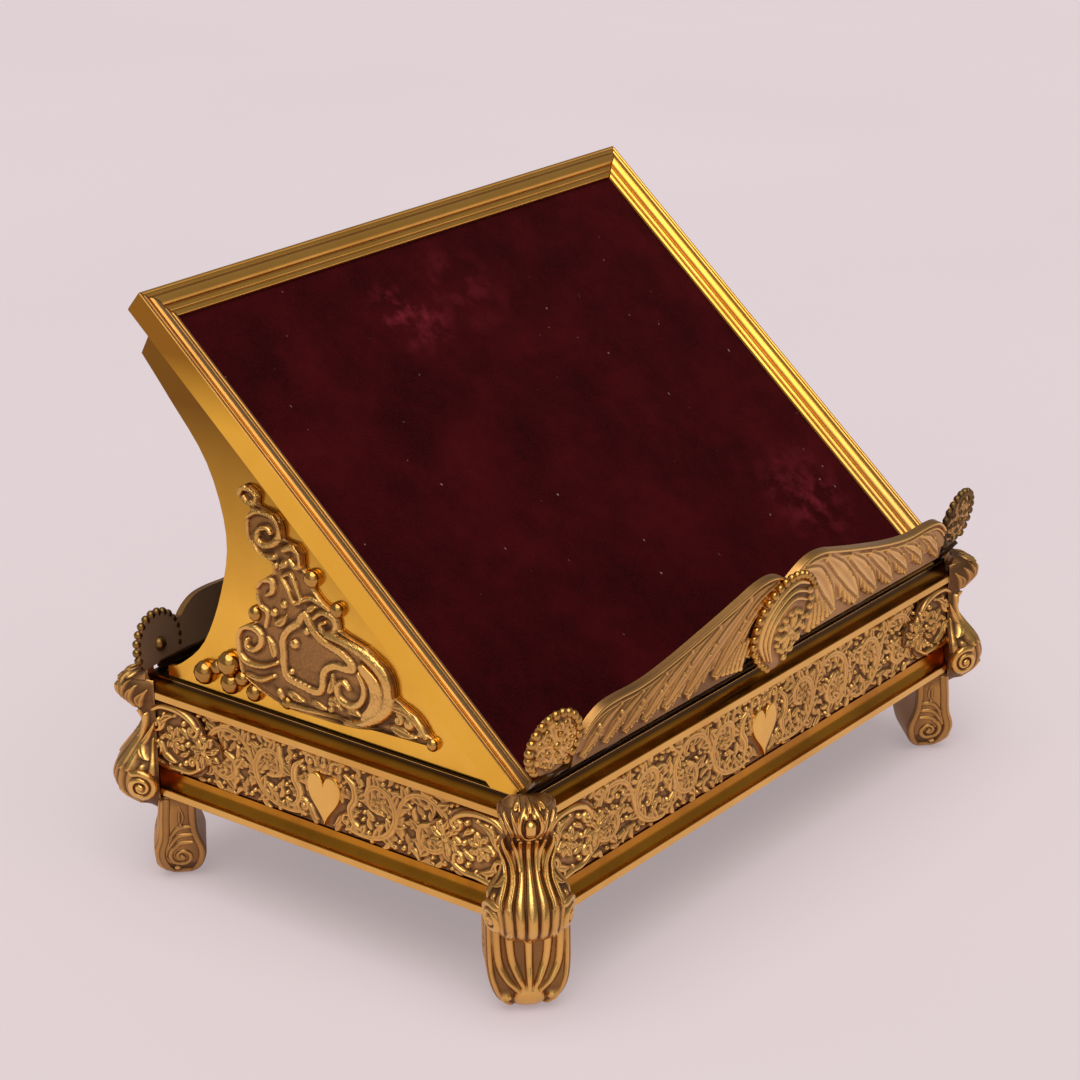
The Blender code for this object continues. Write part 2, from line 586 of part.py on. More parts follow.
def shell(place, low):
    """Beaded shell: round above, drawn to a blunt point below."""
    outline = []
    for a, b in scallop(SHELL_R, 34, 0.05 * SHELL_R, -math.pi / 2, 1.5 * math.pi)[:-1]:
        down = max(0.0, -b / SHELL_R)
        outline.append((a * (1 - 0.45 * down ** 2), b * (1 + 0.02 * down)))
    centre = (0.0, low + SHELL_R * 1.02)
    outline = [(a, b + centre[1]) for a, b in outline]
    return domed(outline, centre, place, SHELL_T, 0.08 * SHELL_R)


strip_low = (BASE_TOP + 2 * GAP - FRONT_Z + (GAP + STRIP_T) * SIN) / COS
strip = [(-GAP, strip_low), (-GAP, STRIP_H - 0.0015), (-GAP - STRIP_T, STRIP_H - 0.0015), (-GAP - STRIP_T, strip_low)]
finish("front_ledge_strip", prism(strip, lambda a, b, c: desk(c, a, b), -DESK_HALF, DESK_HALF), POLISHED)
lip = desk(0.0, -GAP - STRIP_T, STRIP_H - 0.0015)
rear_half = DESK_HALF - 0.6 * CANT
finish("rear_gallery_strip", box((-rear_half, rear_half), (rear_y, rear_y + STRIP_T),
                                 (BASE_TOP + GAP, BASE_TOP + GAP + REAR_STRIP_H)), POLISHED)
rear_z = BASE_TOP + 3 * GAP
ledges = {"front": gallery_place(lip.y - GAP, lip.z + GAP, LEDGE_LEAN, -1),
          "rear": gallery_place(rear_y + STRIP_T + GAP, rear_z, REAR_LEAN, 1)}
# The front fans pass over the strip; at the rear they clear the heads of the corner mounts.
fan_foot = {"front": STRIP_T * SIN + 2 * GAP, "rear": MOUNT_TIP + SPAN * CONSOLE[-1][0] + 2 * GAP - rear_z}
fan_centre = {"front": FAN_R, "rear": 0.62 * FAN_R}
shell_low = {"front": -SHELL_DROP, "rear": 4 * GAP}
for end_name, ledge in ledges.items():
    for name, sign in (("left", -1), ("right", 1)):
        arm(end_name + "_arm_" + name, ledge, sign)
        finish(end_name + "_fan_" + name, end_fan(ledge, sign, fan_centre[end_name], fan_foot[end_name]), CAST)

    def in_front(x, h, c):
        return ledge(x, h, c + ARM_T + LEAF_RISE + GAP)
    finish(end_name + "_shell", shell(in_front, shell_low[end_name]), CAST)

pieces = list(bpy.context.scene.collection.objects)
reach_y = [vert.co.y for piece in pieces for vert in piece.data.vertices]
middle_y = (min(reach_y) + max(reach_y)) / 2
for piece in pieces:
    piece.data.transform(Matrix.Translation((0.0, -middle_y, 0.0)))
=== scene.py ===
import math

import bmesh
import bpy
import numpy as np
from mathutils import Matrix, Vector


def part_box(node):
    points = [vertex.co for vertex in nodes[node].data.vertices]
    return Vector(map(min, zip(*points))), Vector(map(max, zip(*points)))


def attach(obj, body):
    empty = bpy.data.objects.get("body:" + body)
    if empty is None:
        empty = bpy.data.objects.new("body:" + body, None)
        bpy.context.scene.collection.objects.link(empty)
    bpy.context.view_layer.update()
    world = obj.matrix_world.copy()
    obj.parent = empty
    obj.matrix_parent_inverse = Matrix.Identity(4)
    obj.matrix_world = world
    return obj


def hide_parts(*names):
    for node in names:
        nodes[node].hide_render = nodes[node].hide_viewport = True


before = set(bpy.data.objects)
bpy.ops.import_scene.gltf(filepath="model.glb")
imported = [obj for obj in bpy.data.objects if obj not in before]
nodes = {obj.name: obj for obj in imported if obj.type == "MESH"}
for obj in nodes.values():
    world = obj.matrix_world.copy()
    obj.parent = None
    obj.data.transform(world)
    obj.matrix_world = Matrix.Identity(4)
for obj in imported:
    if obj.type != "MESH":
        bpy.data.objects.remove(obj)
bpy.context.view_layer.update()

# Base rails: drawn brass mouldings with a flat fillet and a deep cove, mitred at the corners.
# They are polished by hand, so the flats are soft and pale. The coves get a darker copy of the brass, painted
# shade.
MM = 0.001
GAP = 0.3 * MM
deck_low, deck_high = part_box("deck_plate")
MID_Y = (deck_low.y + deck_high.y) / 2
BASE_TOP = deck_high.z
HALF_W, HALF_D = 175.0 * MM, 115.5 * MM
FOOT_H, FRIEZE_LOW, FRIEZE_HIGH = 44.0 * MM, 54.7 * MM, 90.2 * MM
RAIL_T, FILLET_H, CANT = 12.0 * MM, 3.8 * MM, 12.0 * MM
COVE_DEEP, PLINTH_OUT, FRIEZE_IN = 5.7 * MM, 2.0 * MM, 3.2 * MM
COVE_BACK, COVE_STOP, COVE_CELLS = 0.8 * MM, 0.6 * MM, 14
LEDGE_W, LEDGE_DOWN = 8.0 * MM, 3.0 * MM
EDGE, RAIL_CREASE = 0.35 * MM, 28
SIDES = {"front": (0, -1), "back": (0, 1), "left": (-1, 0), "right": (1, 0)}


def noise(tree, scale, detail, rough, stretch=None):
    where = tree.nodes.new("ShaderNodeTexCoord")
    made = tree.nodes.new("ShaderNodeTexNoise")
    for label, value in (("Scale", scale), ("Detail", detail), ("Roughness", rough)):
        made.inputs[label].default_value = value
    source = where.outputs["Object"]
    if stretch:
        turn = tree.nodes.new("ShaderNodeMapping")
        turn.inputs["Scale"].default_value = stretch
        tree.links.new(source, turn.inputs["Vector"])
        source = turn.outputs["Vector"]
    tree.links.new(source, made.inputs["Vector"])
    return made.outputs["Fac"]


def remap(tree, source, low, high, to_low, to_high):
    made = tree.nodes.new("ShaderNodeMapRange")
    for label, value in (("From Min", low), ("From Max", high), ("To Min", to_low), ("To Max", to_high)):
        made.inputs[label].default_value = value
    tree.links.new(source, made.inputs["Value"])
    return made.outputs["Result"]


def mixed(tree, factor, first, second):
    made = tree.nodes.new("ShaderNodeMix")
    made.data_type = "RGBA"
    tree.links.new(factor, made.inputs[0])
    for socket, colour in ((made.inputs[6], first), (made.inputs[7], second)):
        if isinstance(colour, tuple):
            socket.default_value = (*colour, 1.0)
        else:
            tree.links.new(colour, socket)
    return made.outputs[2]


def bump(tree, shader, height, strength, distance):
    made = tree.nodes.new("ShaderNodeBump")
    made.inputs["Strength"].default_value = strength
    made.inputs["Distance"].default_value = distance
    tree.links.new(height, made.inputs["Height"])
    tree.links.new(made.outputs["Normal"], shader.inputs["Normal"])


def paint(tree, shader, colour, rough):
    tree.links.new(colour, shader.inputs["Base Color"])
    tree.links.new(rough, shader.inputs["Roughness"])


def new_material(name, metallic):
    made = bpy.data.materials.new(name)
    made.use_nodes = True
    shader = made.node_tree.nodes["Principled BSDF"]
    shader.inputs["Metallic"].default_value = metallic
    return made, made.node_tree, shader


hand_polish = bpy.data.node_groups.new("hand_polish", "ShaderNodeTree")
for label in ("Tarnish", "Marks"):
    hand_polish.interface.new_socket(name=label, in_out="OUTPUT", socket_type="NodeSocketFloat")
given = hand_polish.nodes.new("NodeGroupOutput")
clouds = noise(hand_polish, 24.0, 6.0, 0.62)
hand_polish.links.new(remap(hand_polish, clouds, 0.36, 0.70, 0.0, 1.0), given.inputs["Tarnish"])
hand_polish.links.new(noise(hand_polish, 420.0, 3.0, 0.6, (1.0, 0.25, 1.0)), given.inputs["Marks"])


def brass_material(name, bright, dull, smooth, matte, marks=0.05):
    made, tree, shader = new_material(name, 1.0)
    worn = tree.nodes.new("ShaderNodeGroup")
    worn.node_tree = hand_polish
    paint(tree, shader, mixed(tree, worn.outputs["Tarnish"], bright, dull),
          remap(tree, worn.outputs["Tarnish"], 0.0, 1.0, smooth, matte))
    bump(tree, shader, worn.outputs["Marks"], marks, 0.4 * MM)
    return made


def settle(name, bm, surface, stands_for=(), crease=None):
    """Make a finished piece of a bmesh and fix it to the stand."""
    bmesh.ops.recalc_face_normals(bm, faces=bm.faces)
    mesh = bpy.data.meshes.new(name)
    bm.to_mesh(mesh)
    bm.free()
    mesh.materials.append(surface)
    if crease is not None:
        mesh.shade_smooth()
        mesh.set_sharp_from_angle(angle=math.radians(crease))
    piece = bpy.data.objects.new(name, mesh)
    bpy.context.scene.collection.objects.link(piece)
    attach(piece, "root")
    if stands_for:
        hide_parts(*stands_for)
    return piece


def drawn(profile, place, far):
    """A length of moulding: the profile's face, extruded and moved to its far end."""
    bm = bmesh.new()
    face = bm.faces.new([bm.verts.new(place(a, b)) for a, b in profile])
    made = bmesh.ops.extrude_face_region(bm, geom=[face])
    for item in made["geom"]:
        if isinstance(item, bmesh.types.BMVert):
            item.co = far(item.co)
    bmesh.ops.recalc_face_normals(bm, faces=bm.faces)
    return bm


def cut(bm, point, outward):
    geometry = list(bm.verts) + list(bm.edges) + list(bm.faces)
    made = bmesh.ops.bisect_plane(bm, geom=geometry, plane_co=point, plane_no=outward, clear_outer=True)
    rim = [item for item in made["geom_cut"] if isinstance(item, bmesh.types.BMEdge)]
    bmesh.ops.contextual_create(bm, geom=rim)


def top_profile(q):
    """Fillet, cove and flat top, with a ledge behind that carries the deck plate."""
    low, rise = FRIEZE_HIGH, BASE_TOP - FRIEZE_HIGH - FILLET_H - COVE_STOP
    ledge, seat = q - RAIL_T - LEDGE_W, BASE_TOP - LEDGE_DOWN
    points = [(ledge, low), (q - EDGE, low), (q, low + EDGE), (q, low + FILLET_H - EDGE),
              (q - EDGE, low + FILLET_H)]
    for k in range(COVE_CELLS + 1):
        turn = math.radians(90 * k / COVE_CELLS)
        points.append((q - COVE_BACK - COVE_DEEP * math.sin(turn),
                       low + FILLET_H + rise * (1 - math.cos(turn))))
    inner = q - COVE_BACK - COVE_DEEP
    return points + [(inner, BASE_TOP - EDGE), (inner - EDGE, BASE_TOP), (q - RAIL_T, BASE_TOP),
                     (q - RAIL_T, seat), (ledge, seat)]


def bottom_profile(q):
    """Plinth fillet with a cove above it, up to the frieze."""
    rise, out = FRIEZE_LOW - FOOT_H - FILLET_H, PLINTH_OUT + FRIEZE_IN - COVE_STOP
    edge = q + PLINTH_OUT
    points = [(q - RAIL_T, FRIEZE_LOW), (q - RAIL_T, FOOT_H), (edge - EDGE, FOOT_H), (edge, FOOT_H + EDGE),
              (edge, FOOT_H + FILLET_H - EDGE), (edge - EDGE, FOOT_H + FILLET_H)]
    for k in range(COVE_CELLS, -1, -1):
        turn = math.radians(90 * k / COVE_CELLS)
        points.append((q - FRIEZE_IN + out * (1 - math.cos(turn)), FRIEZE_LOW - rise * math.sin(turn)))
    return points


rail_brass = brass_material("rail_brass", (0.86, 0.50, 0.135), (0.74, 0.39, 0.085), 0.20, 0.30)
# A darker copy of the rail brass for the coves: painted shade.
shaded_cove_brass = brass_material("shaded_cove_brass", (0.56, 0.230, 0.020), (0.36, 0.135, 0.011), 0.18, 0.28)


def darkened_by_height(surface, low, high, most, colour):
    """Darken a brass towards a height."""
    tree = surface.node_tree
    shader = tree.nodes["Principled BSDF"]
    where = tree.nodes.new("ShaderNodeTexCoord")
    level = tree.nodes.new("ShaderNodeSeparateXYZ")
    tree.links.new(where.outputs["Object"], level.inputs[0])
    metal = shader.inputs["Base Color"].links[0].from_socket
    darkness = remap(tree, level.outputs["Z"], low, high, 0.0, most)
    tree.links.new(mixed(tree, darkness, metal, colour), shader.inputs["Base Color"])


# Painted shade with some dirt: the top of the upper coves darkens under the desk.
SHADE_DIRT_FROM, SHADE_DIRT_TO = BASE_TOP - 3.4 * MM, BASE_TOP - 1.8 * MM
COVE_FACE = 30.0 * MM * MM
darkened_by_height(shaded_cove_brass, SHADE_DIRT_FROM, SHADE_DIRT_TO, 0.93, (0.020, 0.013, 0.009))
for side, (nx, ny) in SIDES.items():
    outer, along = (HALF_D, HALF_W) if ny else (HALF_W, HALF_D)

    def at_rail(q, z):
        mitre = along - outer + q
        return Vector((-mitre, MID_Y + ny * q, z)) if ny else Vector((nx * q, MID_Y - mitre, z))

    def other_end(spot):
        return Vector((-spot.x, spot.y, spot.z)) if ny else Vector((spot.x, 2 * MID_Y - spot.y, spot.z))

    for level, profile in (("top", top_profile(outer)), ("bottom", bottom_profile(outer))):
        moulding = drawn(profile, at_rail, other_end)
        for end in (-1, 1):
            corner = Vector((end, ny, 0.0) if ny else (nx, end, 0.0)).normalized()
            spot = Vector((end * HALF_W, MID_Y + ny * HALF_D, 0.0) if ny else
                          (nx * HALF_W, MID_Y + end * HALF_D, 0.0))
            cut(moulding, spot - corner * CANT, corner)
        bmesh.ops.recalc_face_normals(moulding, faces=moulding.faces)
        # Long faces that look upwards are those of the cove and of the flat behind it. They take the darker
        # brass, painted shade.
        for item in moulding.faces:
            item.material_index = int(item.normal.z > 0.02 and item.calc_area() > COVE_FACE)
        rail = settle("moulded_" + level + "_rail_" + side, moulding, rail_brass,
                      [level + "_rail_" + side], RAIL_CREASE)
        rail.data.materials.append(shaded_cove_brass)

# Deck plate: a flat brass sheet let into the top rails, under the desk.
# It is painted duller than the rails, partly for dust and partly as shade under the desk.
deck_dust_and_shade_brass = brass_material("deck_dust_and_shade_brass", (0.30, 0.165, 0.045), (0.10, 0.06, 0.028), 0.30, 0.52)


def dress(node, surface):
    nodes[node].data.materials.clear()
    nodes[node].data.materials.append(surface)


dress("deck_plate", deck_dust_and_shade_brass)

# Frieze plates: cast brass, chased with scrolling leaves on a punched ground round a plain heart.
# The face of each plate is raised stroke by stroke.
# The recesses keep their brown patina, and the tops are rubbed.
PLATE_T = 3.0 * MM
FRIEZE_TALL = (FRIEZE_HIGH - FRIEZE_LOW) / MM - 0.6
SCROLL_STEP, PLATE_END, FRIEZE_CELL = 58.0, 14.0, 0.38
HEART_DOWN, HEART_CLEAR, HEART_HALF, HEART_TALL, HEART_CELLS = 4.2, 13, 9.5, 24.5, 56
FILL_TRIES, FILL_APART, FILL_REACH = 3000, 3.1, 16.2


def cast_material(name, grain):
    made, tree, shader = new_material(name, 1.0)
    proud = tree.nodes.new("ShaderNodeAttribute")
    proud.attribute_name = "relief"
    worn = tree.nodes.new("ShaderNodeGroup")
    worn.node_tree = hand_polish
    rubbed = tree.nodes.new("ShaderNodeMath")
    rubbed.operation = "MULTIPLY_ADD"
    rubbed.inputs[1].default_value = -0.16
    tree.links.new(worn.outputs["Tarnish"], rubbed.inputs[0])
    tree.links.new(proud.outputs["Fac"], rubbed.inputs[2])
    tint = tree.nodes.new("ShaderNodeValToRGB")
    stops = [(0.0, (0.17, 0.082, 0.034)), (0.28, (0.33, 0.162, 0.058)), (0.52, (0.51, 0.260, 0.077)),
             (0.78, (0.70, 0.378, 0.101)), (1.0, (0.88, 0.52, 0.150))]
    while len(tint.color_ramp.elements) < len(stops):
        tint.color_ramp.elements.new(0.5)
    for element, (spot, colour) in zip(tint.color_ramp.elements, stops):
        element.position = spot
        element.color = (*colour, 1.0)
    tree.links.new(rubbed.outputs[0], tint.inputs["Fac"])
    paint(tree, shader, tint.outputs["Color"], remap(tree, rubbed.outputs[0], 0.1, 0.80, 0.52, 0.23))
    bump(tree, shader, noise(tree, 1500.0, 2.0, 0.5), grain, 0.3 * MM)
    return made


cast_brass = cast_material("cast_brass", 0.12)
heart_brass = brass_material("heart_brass", (0.95, 0.56, 0.14), (0.86, 0.48, 0.11), 0.20, 0.28, 0.02)
pearl_brass = brass_material("pearl_brass", (0.62, 0.33, 0.078), (0.38, 0.19, 0.044), 0.10, 0.18)


def curve(points, steps=6):
    """Points of a smooth curve through the given points."""
    ends = np.array([points[0], *points, points[-1]], float)
    made = []
    for k in range(1, len(ends) - 2):
        p0, p1, p2, p3 = ends[k - 1:k + 3]
        for t in np.linspace(0.0, 1.0, steps, endpoint=False):
            made.append(0.5 * (2 * p1 + (p2 - p0) * t + (2 * p0 - 5 * p1 + 4 * p2 - p3) * t ** 2
                               + (3 * p1 - p0 - 3 * p2 + p3) * t ** 3))
    return np.array(made + [ends[-1]])


# A stroke is (path, half widths, rise, depth of its vein), in millimetres on the flat of the casting.
# A vein below zero gives a flat strap with steep edges instead of a dome.
def stem(points, wide, rise, vein=0.0, steps=6):
    path = curve(points, steps)
    return path, np.interp(np.linspace(0, 1, len(path)), np.linspace(0, 1, len(wide)), wide), rise, vein


def curl(centre, radius, turns, start, sense, wide, rise, inner=0.16):
    t = np.linspace(0.0, 1.0, int(16 * turns) + 2)
    reach = radius * (1 - (1 - inner) * t ** 0.85)
    turn = math.radians(start) + sense * 2 * math.pi * turns * t
    path = np.column_stack([centre[0] + reach * np.cos(turn), centre[1] + reach * np.sin(turn)])
    return path, np.interp(t, (0, 1), wide), rise, 0.0


def leaf(base, tip, bow, wide, rise, vein=0.45):
    base, tip = np.array(base, float), np.array(tip, float)
    along = tip - base
    bend = base + along / 2 + np.array([-along[1], along[0]]) * bow
    t = np.linspace(0.0, 1.0, 9)[:, None]
    path = base * (1 - t) ** 2 + bend * 2 * t * (1 - t) + tip * t ** 2
    t = t[:, 0]
    return path, wide * (0.22 + 0.78 * np.sin(math.pi * t ** 0.75)) * (1 - 0.5 * t ** 3), rise, vein


def bead(centre, radius, rise):
    return np.array([centre, (centre[0] + 0.01, centre[1])], float), np.full(2, float(radius)), rise, 0.0


def flower(centre, radius, petals, rise, start=0.0):
    made = [bead(centre, radius * 0.26, rise * 1.15)]
    for k in range(petals):
        turn = start + 2 * math.pi * k / petals
        way = np.array([math.cos(turn), math.sin(turn)])
        made.append(stem([np.array(centre) + way * radius * part for part in (0.2, 0.6, 0.86)],
                         np.array((0.8, 1.7, 1.9)) * radius / petals, rise, 0.4, 4))
    return made


def leaves(*rows):
    """Leaves from a table of (base, tip, bow, half width, rise)."""
    return [leaf(row[:2], row[2:4], *row[4:]) for row in rows]


def beads(*rows):
    """Raised beads from a table of (centre, radius, rise)."""
    return [bead(row[:2], *row[2:]) for row in rows]


def mirrored(strokes):
    return [(path * (-1, 1), wide, rise, vein) for path, wide, rise, vein in strokes]


def leaves_along(path, every, long, wide, rise, limit):
    """Small leaves to the left and right of a stem, leaning forward, kept inside the plate."""
    gone = np.concatenate([[0], np.cumsum(np.hypot(*np.diff(path, axis=0).T))])
    made, hand = [], 1
    for d in np.arange(every, gone[-1] - every / 2, every):
        spot, ahead = (np.array([np.interp(d + e, gone, path[:, k]) for k in (0, 1)]) for e in (0.0, 0.5))
        turn = math.atan2(*(ahead - spot)[::-1]) + hand * 0.95
        tip = spot + long * np.array([math.cos(turn), math.sin(turn)])
        if abs(tip[1]) < limit:
            made.append(leaf(spot, tip, -0.2 * hand, wide, rise))
        hand = -hand
    return made


def raised(a, b, strokes):
    """Height of the face over its ground: every stroke is a dome along its path."""
    high = np.zeros(a.shape)
    for path, spread, rise, vein in strokes:
        most = spread.max()
        near = np.nonzero((a > path[:, 0].min() - most) & (a < path[:, 0].max() + most)
                          & (b > path[:, 1].min() - most) & (b < path[:, 1].max() + most))[0]
        if not len(near):
            continue
        pa, pb = a[near], b[near]
        best = np.full(pa.shape, 9.0)
        for k in range(len(path) - 1):
            da, db = path[k + 1] - path[k]
            ahead = (pa - path[k, 0]) * da + (pb - path[k, 1]) * db
            t = np.clip(ahead / max(da * da + db * db, 1e-9), 0, 1)
            wide = spread[k] + (spread[k + 1] - spread[k]) * t
            best = np.minimum(best, np.hypot(pa - path[k, 0] - t * da, pb - path[k, 1] - t * db) / wide)
        dome = np.sqrt(np.clip(1 - best ** 2, 0, 1))
        if vein > 0:
            dome = dome * (1 - vein * np.exp(-(best / 0.22) ** 2))
        elif vein < 0:
            dome = np.minimum(1.0, -vein * dome)
        high[near] = np.maximum(high[near], rise * dome)
    return high


def stand_proud(grid, reach):
    """How far each point of a height grid stands over its surroundings."""
    pad = np.pad(grid, reach, mode="edge")
    wide = 2 * reach + 1
    for axis in (0, 1):
        total = np.cumsum(np.insert(pad, 0, 0.0, axis=axis), axis=axis)
        far = np.split(total, [wide], axis=axis)[1]
        near = np.split(total, [total.shape[axis] - wide], axis=axis)[0]
        pad = (far - near) / wide
    return grid - pad


kept = {}


def once(key, make):
    """A height that several like castings share is worked out once."""
    if key not in kept:
        kept[key] = make()
    return kept[key]


def casting(name, cells, face, stands_for=(), deep=1.2, blur=4, pearls=(), tone=0.30, rear=None,
            pearl_surface=pearl_brass):
    """A closed cast piece from a grid: face(u, v) gives its outer points, their height and the back's points.
    Its edge is drawn to the back and closed there. Pearls are (centre, radius), of their own brass.
    Tone is how bright the ground is, and over the height deep it brightens by most of the scale."""
    bm = bmesh.new()
    bmesh.ops.create_grid(bm, x_segments=cells[0], y_segments=cells[1], size=0.5)
    count, quads = len(bm.verts), len(bm.faces)
    bmesh.ops.extrude_edge_only(bm, edges=[edge for edge in bm.edges if edge.is_boundary])
    walls = len(bm.faces)
    bmesh.ops.holes_fill(bm, edges=[edge for edge in bm.edges if edge.is_boundary], sides=0)
    flat = np.array([vert.co[:2] for vert in bm.verts]) + 0.5
    outer, high, back = face(flat[:, 0], flat[:, 1])
    for k, vert in enumerate(bm.verts):
        vert.co = outer[k] if k < count else back[k]
    for k, item in enumerate(bm.faces):
        item.smooth = k < quads
        item.material_index = int(k >= walls and rear is not None)
    column, row = (np.rint(flat[:count, k] * cells[k]).astype(int) for k in (0, 1))
    grid = np.zeros((cells[1] + 1, cells[0] + 1))
    grid[row, column] = high[:count]
    proud = stand_proud(grid, blur)[row, column]
    relief = [np.clip(tone + 0.95 * proud / deep + 0.40 * high[:count] / deep, 0.0, 1.0),
              np.full(len(bm.verts) - count, 0.55)]
    for centre, radius in pearls:
        made = bmesh.ops.create_uvsphere(bm, u_segments=10, v_segments=6, radius=radius,
                                         matrix=Matrix.Translation(centre))["verts"]
        for item in {item for vert in made for item in vert.link_faces}:
            item.smooth = True
            item.material_index = 1 + int(rear is not None)
        relief.append(np.ones(len(made)))
    piece = settle(name, bm, cast_brass, stands_for)
    for extra in [rear] * (rear is not None) + [pearl_surface] * bool(pearls):
        piece.data.materials.append(extra)
    piece.data.attributes.new("relief", "FLOAT", "POINT").data.foreach_set("value", np.concatenate(relief))
    return piece


def frieze_strokes(half):
    """Scrolls of one plate in mm from its middle, the same on both sides of the heart."""
    low_scroll = [(13.0, -13.6), (20, -14.8), (30, -13.6), (37.5, -8.5), (40.5, 0), (37, 8), (30, 10.5),
                  (25, 7), (25.5, 1), (30.5, -1.5)]
    high_scroll = [(40.5, -5), (44, 6.5), (51, 12.8), (60, 13.2), (67.5, 8), (69.5, 0), (66, -8), (59, -10.5),
                   (53.5, -7), (54, -1), (59, 1.5)]
    strokes = [
        stem([(12.2, 11.0), (16.8, 7.0), (17.6, 1.0), (14.6, -4.4), (16.4, -10.2), (20.5, -12.4)],
            (0.9, 1.9, 2.4, 2.2, 1.7, 1.0), 1.9, 0.3),
        curl((12.4, -10.4), 4.4, 1.4, 265, 1, (1.2, 0.8), 1.5),
        curl((7.8, 12.4), 3.6, 1.2, 200, -1, (1.2, 0.7), 1.5)]
    strokes += leaves(
        (17.0, 3.4, 22.2, 6.4, 0.25, 1.7, 1.6), (15.0, -4.6, 20.8, -3.4, -0.25, 1.7, 1.6),
        (0.6, 9.0, 3.6, 15.6, -0.25, 1.6, 1.5), (10.2, -3, 12.0, 6.0, 0.2, 1.4, 1.4),
        (9.0, -9.0, 4.0, -15.4, 0.25, 1.8, 1.5), (20.5, 14.8, 16.0, 10.6, 0.3, 1.6, 1.4))
    strokes += beads((12.4, -10.4, 1.3, 1.9), (7.8, 12.6, 1.4, 2.0), (3.4, 9.6, 1.4, 1.9),
                     (11.6, 7.4, 1.2, 1.8))
    for k in range(3):
        for points, eye in ((low_scroll, (31, 4.0)), (high_scroll, (60, -3.2))):
            shift = np.array([SCROLL_STEP * k, 0.0])
            if points[0][0] + shift[0] > half - PLATE_END:
                continue
            spot = np.array(points) + shift
            if k:
                spot[0] = (12.5 + shift[0], -8.0) if points is low_scroll else spot[0]
            stroke = stem(spot, (1.2, 2.1, 2.3, 2.0, 1.2), 1.7, 0.25)
            strokes.append(stroke)
            strokes += leaves_along(stroke[0], every=5.0, long=7.0, wide=2.9, rise=1.6, limit=16.6)
            strokes += flower(np.array(eye) + shift, 4.4, 6, 1.7, 0.3)
    return strokes + mirrored(strokes) + [bead((0.0, 12.2), 2.0, 2.0),
                                          leaf((0, 12.5), (0, 17), 0.0, 1.5, 1.5)]


def frieze_height(a, b, half):
    """Scrolls first, then small leaves and beads where the ground is bare, then the punched ground."""
    high = raised(a, b, frieze_strokes(half))
    draw = np.random.default_rng(11)
    taken = [np.array((0.0, -HEART_DOWN))]
    filling = []
    for spot in np.column_stack([draw.uniform(0, half, FILL_TRIES),
                                 draw.uniform(-FILL_REACH, FILL_REACH, FILL_TRIES)]):
        if math.hypot(spot[0], spot[1] + HEART_DOWN) < HEART_CLEAR:
            continue
        if min(math.hypot(*(spot - other)) for other in taken) < FILL_APART:
            continue
        near = np.argmin((a - spot[0]) ** 2 + (b - spot[1]) ** 2)
        if high[near] > 0.6:
            continue
        taken.append(spot)
        turn = draw.uniform(0, 2 * math.pi)
        tip = np.array([math.cos(turn), math.sin(turn)]) * draw.uniform(1.9, 3.4)
        if draw.random() < 0.42:
            filling.append(bead(spot, draw.uniform(1.0, 1.7), draw.uniform(1.2, 2.0)))
        else:
            filling.append(leaf(spot - tip, spot + tip, 0.35, 1.85, draw.uniform(1.0, 1.7), 0.2))
    high = np.maximum(high, raised(a, b, filling + mirrored(filling)))
    return high + draw.uniform(-0.09, 0.09, a.shape) * (high < 0.3)


for side, (nx, ny) in SIDES.items():
    reach, half = (HALF_D, HALF_W) if ny else (HALF_W, HALF_D)
    long = half / MM - PLATE_END
    ground = reach - FRIEZE_IN - 0.8 * MM

    def frieze_face(u, v):
        a, b = (u - 0.5) * 2 * long, (v - 0.5) * FRIEZE_TALL
        high = once(("frieze", half), lambda: frieze_height(a, b, long))
        spots = []
        for q in (ground + high * MM, np.full(a.shape, reach - FRIEZE_IN - PLATE_T)):
            z = (FRIEZE_LOW + FRIEZE_HIGH) / 2 + b * MM
            spots.append(np.column_stack([a * MM, MID_Y + ny * q, z] if ny else [nx * q, MID_Y + a * MM, z]))
        return spots[0], high, spots[1]

    # Painted light: the front and back friezes are toned brighter than the side ones.
    casting("chased_frieze_" + side, (int(2 * long / FRIEZE_CELL), 92), frieze_face, ["frieze_" + side],
            deep=1.3, tone=0.33 if ny else 0.28)
    boss = bmesh.new()
    rings = []
    # (share of the heart's size, height over the ground) of each ring, from the foot to the crown
    for scale, lift in ((1.0, -0.6), (1.0, 1.5), (0.965, 1.85), (0.91, 2.0), (0.60, 2.05), (0.28, 2.07)):
        spots = []
        for k in range(HEART_CELLS):
            t = 2 * math.pi * k / HEART_CELLS
            up = (13 * math.cos(t) - 5 * math.cos(2 * t) - 2 * math.cos(3 * t) - math.cos(4 * t) + 2.5) / 29
            a, q = math.sin(t) ** 3 * HEART_HALF * MM * scale, ground + lift * MM
            z = (FRIEZE_LOW + FRIEZE_HIGH) / 2 + (up * HEART_TALL * scale - HEART_DOWN) * MM
            spots.append(boss.verts.new((a, MID_Y + ny * q, z) if ny else (nx * q, MID_Y + a, z)))
        rings.append([boss.edges.new((spots[k - 1], spots[k])) for k in range(HEART_CELLS)])
    for near, far in zip(rings, rings[1:]):
        bmesh.ops.bridge_loops(boss, edges=near + far)
    for ring in (rings[0], rings[-1]):
        bmesh.ops.contextual_create(boss, geom=ring)
    settle("heart_" + side, boss, heart_brass, crease=50)

# Corner blocks: hardwood blocks inside the base that the mounts, friezes and feet are pinned to.
# They show only from below.
wood, tree, shader = new_material("block_wood", 0.0)
grain = noise(tree, 60.0, 5.0, 0.6, (1.0, 1.0, 0.12))
paint(tree, shader, mixed(tree, grain, (0.13, 0.065, 0.03), (0.30, 0.17, 0.085)),
      remap(tree, grain, 0.3, 0.7, 0.55, 0.80))
bump(tree, shader, grain, 0.2, 0.3 * MM)
CORNERS = {"front_left": (-1, -1), "front_right": (1, -1), "back_left": (-1, 1), "back_right": (1, 1)}
